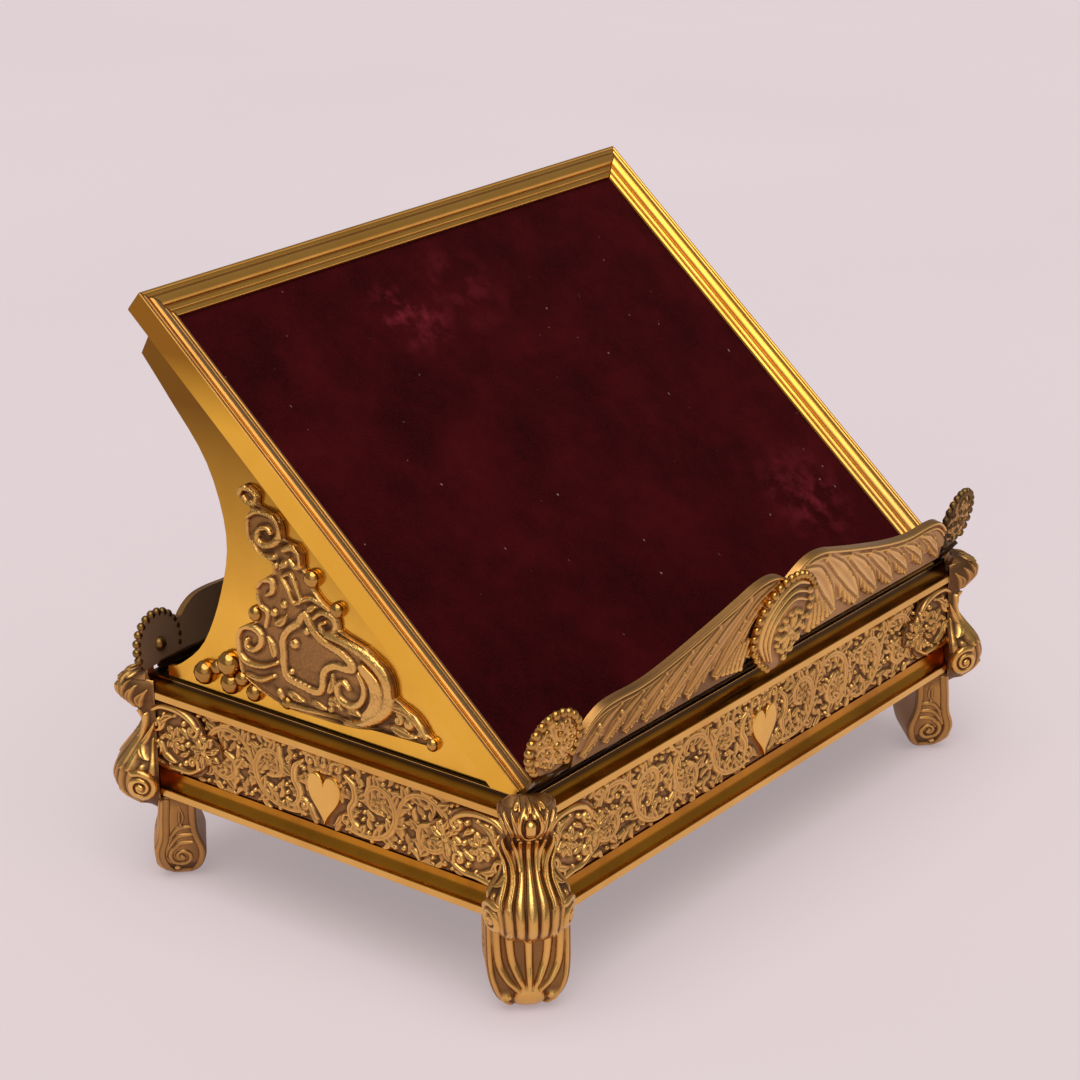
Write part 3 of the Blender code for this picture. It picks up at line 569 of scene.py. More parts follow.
# The castings at the near corner are painted brighter than the rest: painted light.
CORNER_LIGHT = {"front_left": 0.18, "front_right": 0.0, "back_left": 0.0, "back_right": 0.0}
for corner in CORNERS:
    dress("corner_block_" + corner, wood)

# Corner mounts: cast acanthus consoles on the cut corners, with a cabochon in the head and five ribs below.
# A volute closes each side at the knee, and a lobed wing with a rosette lies on each frieze.
MOUNT_TIP, MOUNT_TALL = 33.88, 65.32
# (height fraction, front of the profile, half width)
CONSOLE = curve([
    (0.00, -7.5, 7.0), (0.035, -4.5, 9.5), (0.09, 1.2, 13.2), (0.14, 5.5, 15.5), (0.20, 8.1, 16.4),
    (0.26, 8.7, 16.7), (0.33, 7.4, 17.2), (0.38, 5.4, 17.0), (0.43, 2.8, 15.0), (0.50, -1.0, 12.2),
    (0.58, -4.8, 10.8), (0.65, -6.2, 11.4), (0.71, -5.2, 11.6), (0.77, -2.2, 10.8), (0.82, 1.6, 10.6),
    (0.87, 4.2, 11.6), (0.93, 4.5, 12.2), (0.98, 2.8, 11.6), (1.02, -1.2, 9.6), (1.045, -6.0, 7.0)], 5)
CONSOLE_SPAN, CONSOLE_TOP, CONSOLE_SEAT, HEAD_SEAT = 20.0, 1.045, -11.7, -8.6
# Strokes lie on the unrolled face: CONSOLE_SPAN from the middle rib to each back edge, and mm upwards.
ribs = [
    stem([(3.9, 48), (3.7, 33), (4.0, 17), (3.6, 1.2)], (1.3, 1.5, 1.75, 1.5), 1.6),
    stem([(7.4, 43), (7.2, 32), (7.9, 17), (6.9, 2.5)], (1.2, 1.5, 1.9, 1.4), 1.7),
    stem([(10.8, 28), (11.6, 18), (10.4, 4.5)], (1.2, 1.8, 1.2), 1.6),
    stem([(14.4, 25), (14.9, 16), (13.4, 7.5)], (1.1, 1.6, 1.0), 1.6),
    stem([(17.6, 36), (18.0, 24), (16.8, 12)], (1.1, 1.3, 0.9), 1.6),
    stem([(7.2, 23), (7.7, 33), (10.0, 41), (14.4, 48.5)], (1.0, 1.7, 1.9, 1.0), 3.1, 0.3),
    stem([(10.4, 23), (11.6, 32), (14.4, 38.5), (18.4, 44)], (1.0, 1.7, 1.8, 0.9), 2.9, 0.3),
    stem([(4.6, 36), (5.7, 43), (8.4, 49)], (0.9, 1.3, 0.8), 2.6, 0.2),
    stem([(3.3, 52.2), (5.0, 57), (4.5, 62), (2.4, 66)], (0.9, 1.2, 1.2, 0.8), 2.1),
    curl((7.0, 66.0), 1.9, 1.0, 200, -1, (0.8, 0.6), 1.8)]
ribs += leaves(
    (12.2, 35, 16.6, 28.0, -0.3, 2.0, 3.0, 0.3), (7.4, 13, 11.6, 4.4, -0.2, 1.6, 2.7, 0.3),
    (6.0, 51.5, 9.0, 64.5, 0.15, 1.9, 2.0), (9.2, 51.5, 13.4, 63, 0.15, 2.1, 1.9),
    (12.8, 52, 17.6, 61, 0.12, 2.0, 1.7))
ribs += beads((1.9, 63.6, 1.5, 2.6), (5.6, 51.0, 1.2, 2.2))
console_strokes = ribs + mirrored(ribs)
console_strokes += [
    stem([(0, 48), (0, 33), (0, 17), (0, 0.8)], (1.4, 1.6, 1.9, 1.8), 2.0),
    stem([(0, 55.0), (0, 59.4)], (2.5, 2.7), 3.0),
    stem([(-2.8, 51.6), (0, 50.2), (2.8, 51.6)], (0.8, 1.1, 0.8), 2.0),
    leaf((0, 64.5), (0, 68), 0.0, 1.3, 1.8)]


def corner_point(signs, w, t, z):
    """A point at a cut corner, w across it, t out from it and z up."""
    half = math.sqrt(0.5) * MM
    x, y = HALF_W + (t + w) * half, HALF_D + (t - w) * half
    return np.column_stack([signs[0] * x, MID_Y + signs[1] * y, z * MM])


def two_at(table, level):
    """The second and third columns of a table at the levels of its first."""
    return (np.interp(level, table[:, 0], table[:, k]) for k in (1, 2))


def disc(u, v, radius):
    """The square of a grid, drawn into a disc."""
    x, y = 2 * u - 1, 2 * v - 1
    return x * np.sqrt(1 - y * y / 2) * radius, y * np.sqrt(1 - x * x / 2) * radius


# Edges of a wing: (distance from the corner, share of the frieze's height)
WING_NEAR, WING_LONG, WING_LIP, WING_FRONT, WING_BACK = 9.0, 47.0, 56.4, 1.9, 2.9
WING_TOP = [(9, 0.92), (19, 0.985), (29, 1.0), (37, 0.96), (41.5, 0.90), (44, 0.80), (45.2, 0.70),
            (47.5, 0.715), (51, 0.70), (54.6, 0.62), (56, 0.50)]
WING_FOOT = [
    (9, 0.12), (14.6, 0.03), (21, 0.0), (27, 0.025), (30, 0.07), (32.5, 0.065), (37, 0.05), (42, 0.10),
    (46, 0.20), (47, 0.30), (51, 0.33), (54.6, 0.38), (56, 0.46)]
wing_strokes = flower((45.6, 17.0), 5.6, 6, 2.0, 0.2) + flower((27.0, 18.0), 4.2, 5, 1.9, 0.4)
for middle, near, far, count in (((45.6, 17.0), 4.6, 9.2, 9), ((27.0, 18.0), 3.6, 7.0, 7)):
    for k in range(count):
        turn = 2 * math.pi * k / count
        base, tip = (np.array(middle) + reach * np.array((math.cos(turn + lean), math.sin(turn + lean)))
                     for reach, lean in ((near, 0.0), (far, 0.35)))
        wing_strokes.append(leaf(base, tip, 0.25, 2.0, 1.5))
wing_strokes += [
    stem([(11, 27), (19, 32.2), (29, 32.8), (37.5, 30.2), (42.2, 25.6)], (1.1, 1.8, 1.7, 1.1), 1.8),
    curl((38.8, 25.6), 3.5, 1.2, 20, -1, (1.2, 0.7), 1.8),
    stem([(11, 7.5), (19, 3.2), (28.5, 3.8), (36, 4.2), (42, 7.4)], (1.1, 1.7, 1.5, 1.0), 1.8),
    curl((38.2, 9.6), 3.4, 1.2, 330, 1, (1.2, 0.7), 1.8),
    curl((15.5, 22.5), 3.6, 1.2, 60, -1, (1.2, 0.8), 1.8),
    curl((15.5, 12.2), 3.6, 1.2, 300, 1, (1.2, 0.8), 1.8)]
wing_strokes += leaves(
    (19, 25, 28, 29.6, 0.2, 2.1, 1.7), (18, 20, 23, 26.5, 0.2, 1.8, 1.6), (19, 10, 28, 6.8, -0.2, 2.1, 1.7),
    (18, 15, 22.5, 8.5, -0.2, 1.8, 1.6), (30.5, 24.5, 36, 20.5, 0.25, 1.7, 1.6),
    (30.5, 11.5, 36, 15, -0.25, 1.7, 1.6))
wing_strokes += beads(
    (38.8, 25.4, 1.3, 2.2), (38.2, 9.8, 1.3, 2.2), (33.6, 27.6, 1.6, 2.1), (33.6, 8.2, 1.6, 2.1),
    (35.4, 17.8, 1.6, 2.1), (19.6, 17.4, 1.5, 2.1), (28, 30.0, 1.1, 1.6), (21, 29.0, 1.2, 1.6),
    (23.5, 5.4, 1.2, 1.6), (29.6, 6.0, 1.1, 1.6), (12, 17.4, 1.4, 1.9), (45.6, 17.0, 2.2, 2.4))

# The console's face swells from its seat by these powers, that of its back edges and that of its crown.
CONSOLE_BACK, CONSOLE_CROWN = 2.6, 0.55
KNEE_R, KNEE_RIM, KNEE_T, KNEE_Z = 8.7, 0.5, -3.0, MOUNT_TIP + 0.235 * MOUNT_TALL
knee_curl = [curl((0, 0), 7.5, 2.0, 60, 1, (1.9, 0.9), 2.0), bead((0, 0), 1.8, 2.4)]
for corner, signs in CORNERS.items():
    def console_face(u, v):
        w, level = np.sin((u - 0.5) * math.pi), v * CONSOLE_TOP
        front, wide = two_at(CONSOLE, level)
        high = once("console", lambda: raised((2 * u - 1) * CONSOLE_SPAN, level * MOUNT_TALL,
                                              console_strokes))
        back = np.where(level < 1.0, CONSOLE_SEAT, HEAD_SEAT)
        swell = (1 - np.abs(w) ** CONSOLE_BACK * 0.999) ** CONSOLE_CROWN
        t = back + 0.3 + (front - 1.6 - back) * swell + high * np.minimum(1.0, 1.6 * swell)
        z = MOUNT_TIP + MOUNT_TALL * level
        across = w * wide + np.sign(w) * 0.55 * (high - 0.8) * np.abs(w) ** 3
        return corner_point(signs, across, t, z), high, corner_point(signs, w * wide, back, z)

    casting("console_" + corner, (150, 220), console_face, ["corner_mount_" + corner],
            deep=1.9, blur=6, tone=0.14 + 1.5 * CORNER_LIGHT[corner])
    for flank, hand in (("a", -1), ("b", 1)):
        def knee_face(u, v):
            a, b = disc(u, v, KNEE_R)
            high = raised(a, b, knee_curl) + KNEE_RIM * np.clip(1 - (np.hypot(a, b) / KNEE_R) ** 6, 0, 1)
            t, z = KNEE_T + a, KNEE_Z + b
            front, wide = two_at(CONSOLE, (z - MOUNT_TIP) / MOUNT_TALL)
            part = np.clip((t + 11.4) / (front + 10.1), 0.02, 0.97)
            flush = wide * (1 - part ** (1 / CONSOLE_CROWN)) ** (1 / CONSOLE_BACK)
            return (corner_point(signs, hand * (flush + (0.3 + high)), t, z), high,
                    corner_point(signs, hand * (flush - 1.5), t, z))

        casting("knee_volute_" + corner + "_" + flank, (52, 52), knee_face, deep=1.6,
                tone=0.16 + CORNER_LIGHT[corner])

        def wing_face(u, v):
            a = WING_NEAR + WING_LONG * u
            low, high_edge = (np.interp(a, *np.array(line).T) for line in (WING_FOOT, WING_TOP))
            b = FRIEZE_TALL * (low + (high_edge - low) * v)
            lip = np.minimum(np.minimum(v, 1 - v) * (high_edge - low) * FRIEZE_TALL, WING_LIP - a)
            high = once("wing", lambda: raised(a, b, wing_strokes) * np.clip(lip / 0.8, 0, 1)
                        + 0.35 * np.clip(lip / 0.6, 0, 1))
            spots = []
            for c in (WING_FRONT - high, np.full(a.shape, WING_BACK)):
                z = FRIEZE_LOW + 0.3 * MM + b * MM
                x, y = (a, c) if hand < 0 else (c, a)
                spots.append(np.column_stack([signs[0] * (HALF_W - x * MM),
                                              MID_Y + signs[1] * (HALF_D - y * MM), z]))
            return spots[0], high, spots[1]

        casting("wing_" + corner + "_" + flank, (124, 90), wing_face, deep=1.3, tone=0.19 + CORNER_LIGHT[corner])

# Scroll feet: cast brass volutes under the corners, ribbed in front down to a pearl.
# Each side has a smooth rim round a sunk field with a scroll. They are screwed up into the corner blocks.
FOOT_FRONT, FOOT_HALF, FOOT_TOP = -12.3, 17.2, 43.7
FOOT_CELLS, RIB_TOP, RIB_END = 84, 42.5, 8
FIELD_LOW, FIELD_TALL, FIELD_RIM = 0.8, 42.0, 1.9
foot_turn = MOUNT_TIP - 0.6
# Outline of a foot from the side, (forward, up): down its front, under the sole, and up its back.
FOOT_LINE = [
    (0, FOOT_TOP), (0.3, 38.0), (0.7, foot_turn), (0.9, foot_turn * 0.89), (1.0, foot_turn * 0.78),
    (1.6, foot_turn * 0.66), (3.0, 17.6), (3.5, 13.6), (2.2, 8.0), (-0.3, 3.8), (-3.6, 1.0), (-6.6, 0.0),
    (-8.6, 0.0), (-11.6, 1.0), (-14.9, 3.8), (-17.4, 8.0), (-18.7, 13.6), (-18.2, 17.6),
    (-16.6, foot_turn * 0.66), (-15.2, foot_turn * 0.84), (-15.0, 38.5), (-15.5, FOOT_TOP)]
foot_side = [
    stem([(2.4, 12.5), (4.8, 18), (7.4, 26), (8.6, 42)], (1.2, 1.6, 1.9, 2.1), 1.8),
    stem([(5.2, 11.5), (9.6, 17), (12.8, 25), (13.6, 42)], (1.2, 1.5, 1.8, 1.9), 1.7),
    stem([(7.6, 2.2), (11.8, 6.6), (14.9, 13.5), (16.7, 23), (17.2, 42)], (1.3, 1.7, 1.8, 1.7, 1.6), 1.6),
    curl((9.4, 7.4), 2.6, 1.1, 300, 1, (1.2, 0.8), 2.1), bead((9.4, 7.4), 1.6, 2.6)]
foot_strokes = foot_side + mirrored(foot_side) + [stem([(0, 12), (0, 22), (0, 42)], (1.3, 1.7, 2.2), 1.9),
                                                  bead((0, 6.6), 6.8, 3.3)]
field_strokes = [curl((-7.6, 12.6), 6.4, 1.6, 70, -1, (1.5, 0.9), 1.3), bead((-5.0, 5.6), 1.7, 1.9),
                 bead((-7.4, 12.6), 1.5, 1.5)]
field_strokes += [stem([(-2.8, low), (-6.4, low + 4.2), (-12.6, low + 5.0)], (1.0, 1.5, 0.9), 1.3)
                  for low in (15.6, 19.6, 23.6)]
field_strokes += [leaf((-7.6, 30), (-7.4, 39), 0.1, 2.0, 1.2), bead((-7.6, 29.6), 1.2, 1.4)]
FRONT_LINE, BACK_LINE = FOOT_LINE[:12], FOOT_LINE[12:]
foot_path = np.concatenate([curve(FRONT_LINE, 5), curve(BACK_LINE, 5)])
front_count = len(curve(FRONT_LINE, 5))
foot_level = np.linspace(0.0, FOOT_TOP, 60)
foot_edge = [np.interp(foot_level, *[curve(line, 8)[::step, k] for k in (1, 0)])
             for line, step in ((FRONT_LINE, -1), (BACK_LINE, 1))]


def foot_half(z):
    """Half width of a foot at a height: it narrows towards the floor."""
    part = np.clip(z / (FOOT_H / MM * 0.62), 0.0, 1.0) ** 0.62
    return FOOT_HALF * (0.30 + 0.70 * np.sin(part * math.pi / 2))


for corner, signs in CORNERS.items():
    bm = bmesh.new()
    around = len(foot_path)
    bmesh.ops.create_grid(bm, x_segments=around, y_segments=FOOT_CELLS, size=0.5)
    flat = np.array([vert.co[:2] for vert in bm.verts]) + 0.5
    index = np.rint(flat[:, 0] * around).astype(int) % around
    t, z = foot_path[index, 0], foot_path[index, 1]
    w = (2 * flat[:, 1] - 1) * foot_half(z)
    # The side edges are rounded off, and the ribs stand on the front only.
    rounding = 1.6 * np.clip((np.abs(2 * flat[:, 1] - 1) - 0.88) / 0.12, 0, 1) ** 2
    front = (index < front_count - RIB_END) & (z < RIB_TOP)
    high = np.where(front, raised(w, z, foot_strokes), 0.0)
    inward = np.where(index < front_count, -1.0, 1.0)
    spots = corner_point(signs, w, FOOT_FRONT + t + high + rounding * inward * (z > 1.0), z)
    for vert, spot in zip(bm.verts, spots):
        vert.co = spot
    values = np.clip(0.34 + CORNER_LIGHT[corner] + 0.45 * (high - 0.6) / 1.2, 0.12, 1.0)
    layer = bm.verts.layers.float.new("relief")
    for vert, value in zip(bm.verts, np.where(front, values, 0.30 + CORNER_LIGHT[corner])):
        vert[layer] = value
    for item in bm.faces:
        item.smooth = True
    bmesh.ops.remove_doubles(bm, verts=bm.verts, dist=0.002 * MM)
    bmesh.ops.holes_fill(bm, edges=[edge for edge in bm.edges if edge.is_boundary], sides=0)
    settle("volute_foot_" + corner, bm, cast_brass, ["scroll_foot_" + corner])
    for flank, hand in (("a", -1), ("b", 1)):
        def field_face(u, v):
            z = FIELD_LOW + FIELD_TALL * v
            near, far = (np.interp(z, foot_level, line) for line in foot_edge)
            t = far + (near - far) * (0.02 + 0.96 * u)
            lip = np.minimum(np.minimum(t - far, near - t), z - 0.4)
            rim = np.clip(1 - ((lip - FIELD_RIM) / FIELD_RIM) ** 2, 0, 1) ** 0.5
            high = once("field", lambda: np.maximum(1.35 * rim, raised(t, z, field_strokes)))
            seat = foot_half(z)
            return (corner_point(signs, hand * (seat - 0.5 + high), FOOT_FRONT + t, z), high,
                    corner_point(signs, hand * (seat - 1.6), FOOT_FRONT + t, z))

        casting("foot_field_" + corner + "_" + flank, (56, 110), field_face, deep=1.4,
                tone=0.06 + CORNER_LIGHT[corner])

# Desk sides: polished brass sheet, cut to the slope above and to a long hollow curve behind.
# They stand on the deck and are screwed to wooden cleats inside.
panel_brass = brass_material("panel_brass", (1.0, 0.560, 0.076), (0.91, 0.485, 0.056), 0.15, 0.26, 0.03)
# They are painted browner towards the top, a painted dark reflection below the flange.
PANEL_SHADE_FROM, PANEL_SHADE_TO = 140.0 * MM, 232.0 * MM
darkened_by_height(panel_brass, PANEL_SHADE_FROM, PANEL_SHADE_TO, 0.93, (0.18, 0.074, 0.010))
HANDS = {"left": -1, "right": 1}
for side in HANDS:
    dress("side_panel_" + side, panel_brass)
    dress("desk_cleat_" + side, wood)

# Side ornaments: one cast strapwork cartouche on each side, pinned to the panel.
# Golden straps run over a stippled brown ground between scrolls, a crescent, pearls and a berry cluster.
PANEL_OUT, PANEL_FOOT = 166.7, 99.5
CARTOUCHE_LOW, CARTOUCHE_TALL, CARTOUCHE_T, CARTOUCHE_SEAT = 4.4, 99.2, 1.1, 0.25
# (height, edge towards the front, edge towards the back)
CARTOUCHE = np.array([
    (4.4, 16, 24), (5.2, -8, 27), (6.4, -20, 31), (8.0, -28, 36), (9.2, -59.5, 40), (12.5, -60, 47),
    (14.2, -57, 50), (17, -55.2, 51), (21, -51, 51.6), (24, -44, 51.6), (26, -39.4, 51.6), (32, -38.8, 51.4),
    (36, -37, 49.5), (38.6, -34.8, 45), (40.5, -32, 40.5), (45, -24, 40), (47.5, -14, 40), (49, -9.8, 38),
    (54, -9, 38.4), (57, -6, 38.6), (60, 0, 37.2), (63.5, 3.6, 32), (66, 5, 28.4), (70, 7, 28),
    (72.5, 9.6, 30.5), (75, 10, 37), (79, 10.2, 41.2), (82.2, 13.5, 42.6), (83.4, 20.6, 42.8),
    (88, 20.8, 42.6), (91, 22, 40.4), (93.6, 25, 38.8), (95.4, 33.6, 41.5), (97, 34.4, 45.5),
    (99.5, 33.8, 46.8), (101.6, 35.4, 45.6), (103.6, 39.5, 42)])
cartouche = [
    stem([(45.3, 99.0), (43.2, 101.7), (38.3, 102.3), (35.0, 100.0), (36.3, 96.7), (40.7, 96.0),
        (42.5, 98.1)], (1.1, 1.3, 1.2, 0.9), 1.7),
    stem([(41.1, 89.3), (35.0, 92.9), (27.3, 93.1), (22.6, 89.7), (22.4, 85.2), (26.1, 80.5), (32.1, 78.4),
        (35.8, 80.6), (34.6, 84.7), (29.6, 86.6), (27.4, 84.8)], (0.9, 1.4, 1.6, 1.4, 1.1, 0.8), 1.9),
    stem([(41.1, 89.3), (41.6, 81.6), (39.0, 76.1), (32.4, 73.0), (26.5, 74.1)], (0.8, 1.2, 1.3, 1.0), 1.5),
    stem([(20.5, 78.8), (15.5, 81.0), (11.5, 79.0), (11.0, 74.4), (14.2, 72.4), (16.9, 75.1)],
        (1.2, 1.7, 1.7, 1.2, 0.8), 1.8),
    stem([(37.3, 58.1), (34.1, 61.9), (28.8, 62.4), (28.5, 57.9), (31.6, 55.6)], (1.0, 1.5, 1.3, 0.9), 1.6),
    stem([(22.2, 66.3), (17.3, 68.2), (13.8, 62.2), (12.2, 57.2), (16.1, 55.5), (18.7, 60.2), (22.3, 65.0)],
        (0.8, 0.8), 1.4, steps=3),
    stem([(12.2, 57.2), (6.2, 59.9), (0.6, 58.6), (-4.1, 57.0)], (0.7, 1.0, 0.8), 1.3),
    stem([(4.8, 51.4), (-0.1, 54.9), (-5.7, 54.0), (-7.4, 50.6), (-4.4, 46.5), (0.4, 46.4), (1.2, 49.2),
        (-1.8, 51.0)], (1.0, 1.3, 1.1, 0.8), 1.6),
    stem([(37.5, 54.2), (35.9, 49.2), (32.1, 47.0), (33.5, 40.4)], (0.8, 1.1, 0.9), 1.3),
    stem([(50.9, 31.4), (47.6, 36.4), (41.5, 37.9), (36.8, 35.7), (37.1, 31.0), (41.2, 27.5), (45.2, 28.1),
        (45.0, 31.3)], (1.2, 1.5, 1.3, 0.9), 1.7),
    stem([(50.9, 30.4), (50.0, 23.6), (44.7, 20.3), (35.7, 21.1), (27.6, 24.8)], (1.3, 1.4, 1.2, 0.8), 1.6),
    stem([(23.6, 30.5), (23.6, 24.0), (21.5, 19.4), (13.5, 17.8), (4.9, 17.0), (1.6, 20.2), (1.2, 25.0),
        (-1.0, 29.2), (-6.0, 32.0), (-11.0, 32.2), (-16.4, 33.0), (-14.4, 36.2), (-9.0, 39.2), (0.0, 41.8),
        (6.0, 46.0), (10.4, 51.4), (14.4, 46.6), (20.2, 42.0), (23.6, 36.6), (23.6, 30.5)], (1.25, 1.25),
        1.2, -2.6, 4),
    stem([(-19.4, 31.6), (-22.0, 25.6), (-20.0, 18.8), (-14.0, 15.4), (-8.0, 17.4), (-6.6, 22.6),
        (-10.4, 25.6), (-13.6, 23.4)], (1.0, 1.4, 1.5, 1.4, 1.1, 0.8), 1.5),
    stem([(30, 17.9), (38.1, 14.1), (46, 14.7)], (0.9, 1.2, 0.8), 1.4),
    stem([(-3.0, 45.6), (-13.7, 44.4), (-24.7, 41.0), (-33.2, 35.6), (-36.6, 27.8), (-34.6, 19.6),
        (-27.2, 12.9), (-19.5, 8.9), (-11.9, 7.6)], (1.2, 1.6, 2.2, 2.6, 2.8, 2.6, 2.2, 1.6, 1.0), 2.6),
    stem([(-22.3, 35.6), (-28.6, 29.9), (-30.0, 24.0), (-28.0, 17.9), (-22.6, 12.8)],
        (1.6, 2.7, 3.1, 2.7, 1.5), 2.1, -1.8),
    stem([(-38.6, 21.4), (-44.4, 21.4), (-51.0, 18.0), (-55.9, 12.8)], (1.5, 2.0, 1.9, 1.3), 1.8, 0.3),
    curl((-41.0, 16.6), 2.6, 1.1, 90, 1, (1.0, 0.7), 1.5),
    stem([(27.5, 11.5), (23.2, 6.8), (16.9, 6.4), (4, 7.4), (-6, 8.2)], (1.0, 1.2, 1.0, 0.7), 1.3)]
cartouche += leaves(
    (-1.6, 18.4, -4.4, 28.0, 0.2, 1.7, 1.4), (-2.4, 16.0, -9.4, 12.4, -0.2, 1.7, 1.4),
    (-12.4, 12.6, -20.4, 12.0, -0.2, 1.6, 1.3), (29.5, 27.0, 33.0, 36.0, 0.2, 1.8, 1.3),
    (27.6, 43.0, 21.0, 48.6, 0.2, 1.8, 1.3), (8.4, 53.4, 3.2, 56.6, -0.2, 1.4, 1.2),
    (19.5, 72.6, 23.8, 69.0, 0.2, 1.4, 1.2), (22.0, 12.6, 12.0, 10.6, 0.15, 1.6, 1.2),
    (8.0, 12.2, -1.0, 10.2, 0.15, 1.4, 1.1), (-37.0, 12.4, -51.0, 11.0, 0.12, 2.2, 1.5))
cartouche += beads(
    (37.2, 93.6, 1.6, 1.4), (-3.0, 14.0, 1.5, 1.5), (17.0, 36.2, 1.9, 1.7), (9.6, 44.0, 1.5, 1.6),
    (-14.0, 33.6, 1.1, 1.3), (19.6, 22.6, 1.2, 1.4), (-47.0, 16.2, 2.3, 2.3), (-52.8, 13.0, 1.4, 1.7),
    (-2.6, 10.9, 1.3, 1.4), (28.2, 48.0, 1.6, 1.6), (22.3, 53.0, 1.5, 1.5), (33.0, 67.6, 1.5, 1.4),
    (26.0, 70.2, 1.3, 1.3))
# (towards the back, up, radius) of each pearl
pearls = [
    (5.2, 69.0, 4.3), (-8.3, 58.0, 3.7), (39.7, 44.8, 3.7), (72.4, 8.7, 5.6), (57.0, 16.9, 5.9),
    (56.6, 7.6, 5.2), (42.6, 6.6, 4.2), (23.2, 7.0, 3.2), (-58.9, 9.9, 3.2), (64.8, 13.0, 3.6),
    (49.6, 11.4, 3.8)]
STRAP_SWELL, STRAP_LIFT, RIM, STIPPLE = 1.30, 1.25, 1.2, 0.13
cartouche = [(path, wide * STRAP_SWELL, rise * STRAP_LIFT, vein) for path, wide, rise, vein in cartouche]
for side, hand in HANDS.items():
    def cartouche_face(u, v):
        b = CARTOUCHE_LOW + CARTOUCHE_TALL * v
        front, rear = two_at(CARTOUCHE, b)
        a = front + (rear - front) * u
        lip = np.minimum(np.minimum(u, 1 - u) * (rear - front), np.minimum(b - 4.2, 103.8 - b))

        def cartouche_height():
            straps = raised(a, b, cartouche) * np.clip(lip / 0.7, 0.0, 1.0)
            rim = RIM * np.exp(-((lip - 1.2) / 0.75) ** 2)
            return np.maximum(straps, rim) + np.random.default_rng(5).uniform(-STIPPLE, STIPPLE, a.shape)

        high = once("cartouche", cartouche_height)
        spots = []
        for c in (PANEL_OUT + CARTOUCHE_T + high, np.full(a.shape, PANEL_OUT + CARTOUCHE_SEAT)):
            spots.append(np.column_stack([hand * c * MM, MID_Y + a * MM, (PANEL_FOOT + b) * MM]))
        return spots[0], high, spots[1]

    set_pearls = [((hand * (PANEL_OUT + 0.22 * r) * MM, MID_Y + y * MM, (PANEL_FOOT + z) * MM), r * MM)
                  for y, z, r in pearls]
    casting("cartouche_" + side, (290, 270), cartouche_face, ["side_ornament_" + side],
            deep=1.7, blur=5, pearls=set_pearls, tone=0.46)

# Desk frame: moulded brass rails round the velvet, mitred at the upper corners, with a flange over the sides.
# From a crisp lip the section falls to the cloth in a fillet, a half-round and two fine reeds.
SLOPE = math.radians(40.9)
DESK_HALF, DESK_LONG = 169.5 * MM, 269.5 * MM
FRONT_Y, FRONT_Z = MID_Y - HALF_D + 9.8 * MM, BASE_TOP + 2.7 * MM
MOULD_W, FLANGE_W, FLANGE_T = 14.5 * MM, 11.5 * MM, 2.5 * MM
UNDER_LIP = -5.1 * MM
FRAME_DARKER_FROM, FRAME_DARKER_TO = 175.0 * MM, 95.0 * MM
FLANGE_SHADE_FROM, FLANGE_SHADE_TO = 226.0 * MM, 254.0 * MM
REED_CELLS, NICK = 10, 0.3 * MM


def desk(x, u, n):
    """A point of the sloping desk: x across it, u up the slope and n out from it."""
    return Vector((x, FRONT_Y + u * math.cos(SLOPE) - n * math.sin(SLOPE),
                   FRONT_Z + u * math.sin(SLOPE) + n * math.cos(SLOPE)))


frame_brass = brass_material("frame_brass", (0.88, 0.445, 0.076), (0.79, 0.380, 0.055), 0.22, 0.32)
# The frame brass is darker towards the lower ends of the side rails.
darkened_by_height(frame_brass, FRAME_DARKER_FROM, FRAME_DARKER_TO, 0.75, (0.52, 0.275, 0.090))
reed_shade_brass = brass_material("reed_shade_brass", (0.47, 0.220, 0.050), (0.36, 0.160, 0.034), 0.24, 0.34)
flange_brass = brass_material("flange_brass", (0.99, 0.555, 0.066), (0.93, 0.505, 0.053), 0.20, 0.30)
# Painted dark reflection: the flange is browner towards its top.
darkened_by_height(flange_brass, FLANGE_SHADE_FROM, FLANGE_SHADE_TO, 0.92, (0.29, 0.120, 0.012))
# The left rail's moulded top is painted duller, as shade. The outer slopes of all reeds are painted brown, as
# shade.
left_rail_shade_brass = brass_material("left_rail_shade_brass", (0.54, 0.300, 0.110), (0.44, 0.235, 0.080), 0.28, 0.40)
top_brass = brass_material("top_brass", (0.84, 0.440, 0.092), (0.72, 0.360, 0.066), 0.22, 0.32)
frame_profile = [(0.0, -FLANGE_W), (FLANGE_T, -FLANGE_W), (FLANGE_T, -4.8 * MM), (MOULD_W, -4.8 * MM)]
FALL, LIP = 0.31, 1.3 * MM
# (inner edge, width, bulge) of each reed
for start, wide, bulge in ((14.3, 2.4, 0.7), (11.6, 2.4, 0.7), (8.9, 5.4, 1.9), (3.2, 1.5, 0.4)):
    for k in range(REED_CELLS + 1):
        across = (start - wide / 2 * (1 - math.cos(math.pi * k / REED_CELLS))) * MM
        high = bulge * MM * math.sin(math.pi * k / REED_CELLS)
        frame_profile.append((across, high - FALL * (across - LIP / 2)))
frame_profile += [(LIP, -NICK), (LIP - NICK, 0.0), (NICK, 0.0), (0.0, -NICK)]


def set_frame_rail(side, bm, surface, outward):
    """Fix a rail, with a second brass on its flange and a third, darker one on the outer slopes of its reeds,
    painted shade.
    """
    bmesh.ops.recalc_face_normals(bm, faces=bm.faces)
    for item in bm.faces:
        tilt = item.normal.dot(outward)
        item.material_index = 1 if tilt > 0.95 else 2 if tilt > 0.10 else 0
    made = settle("moulded_frame_" + side, bm, surface, ["frame_rail_" + side], RAIL_CREASE)
    for extra in (flange_brass, reed_shade_brass):
        made.data.materials.append(extra)


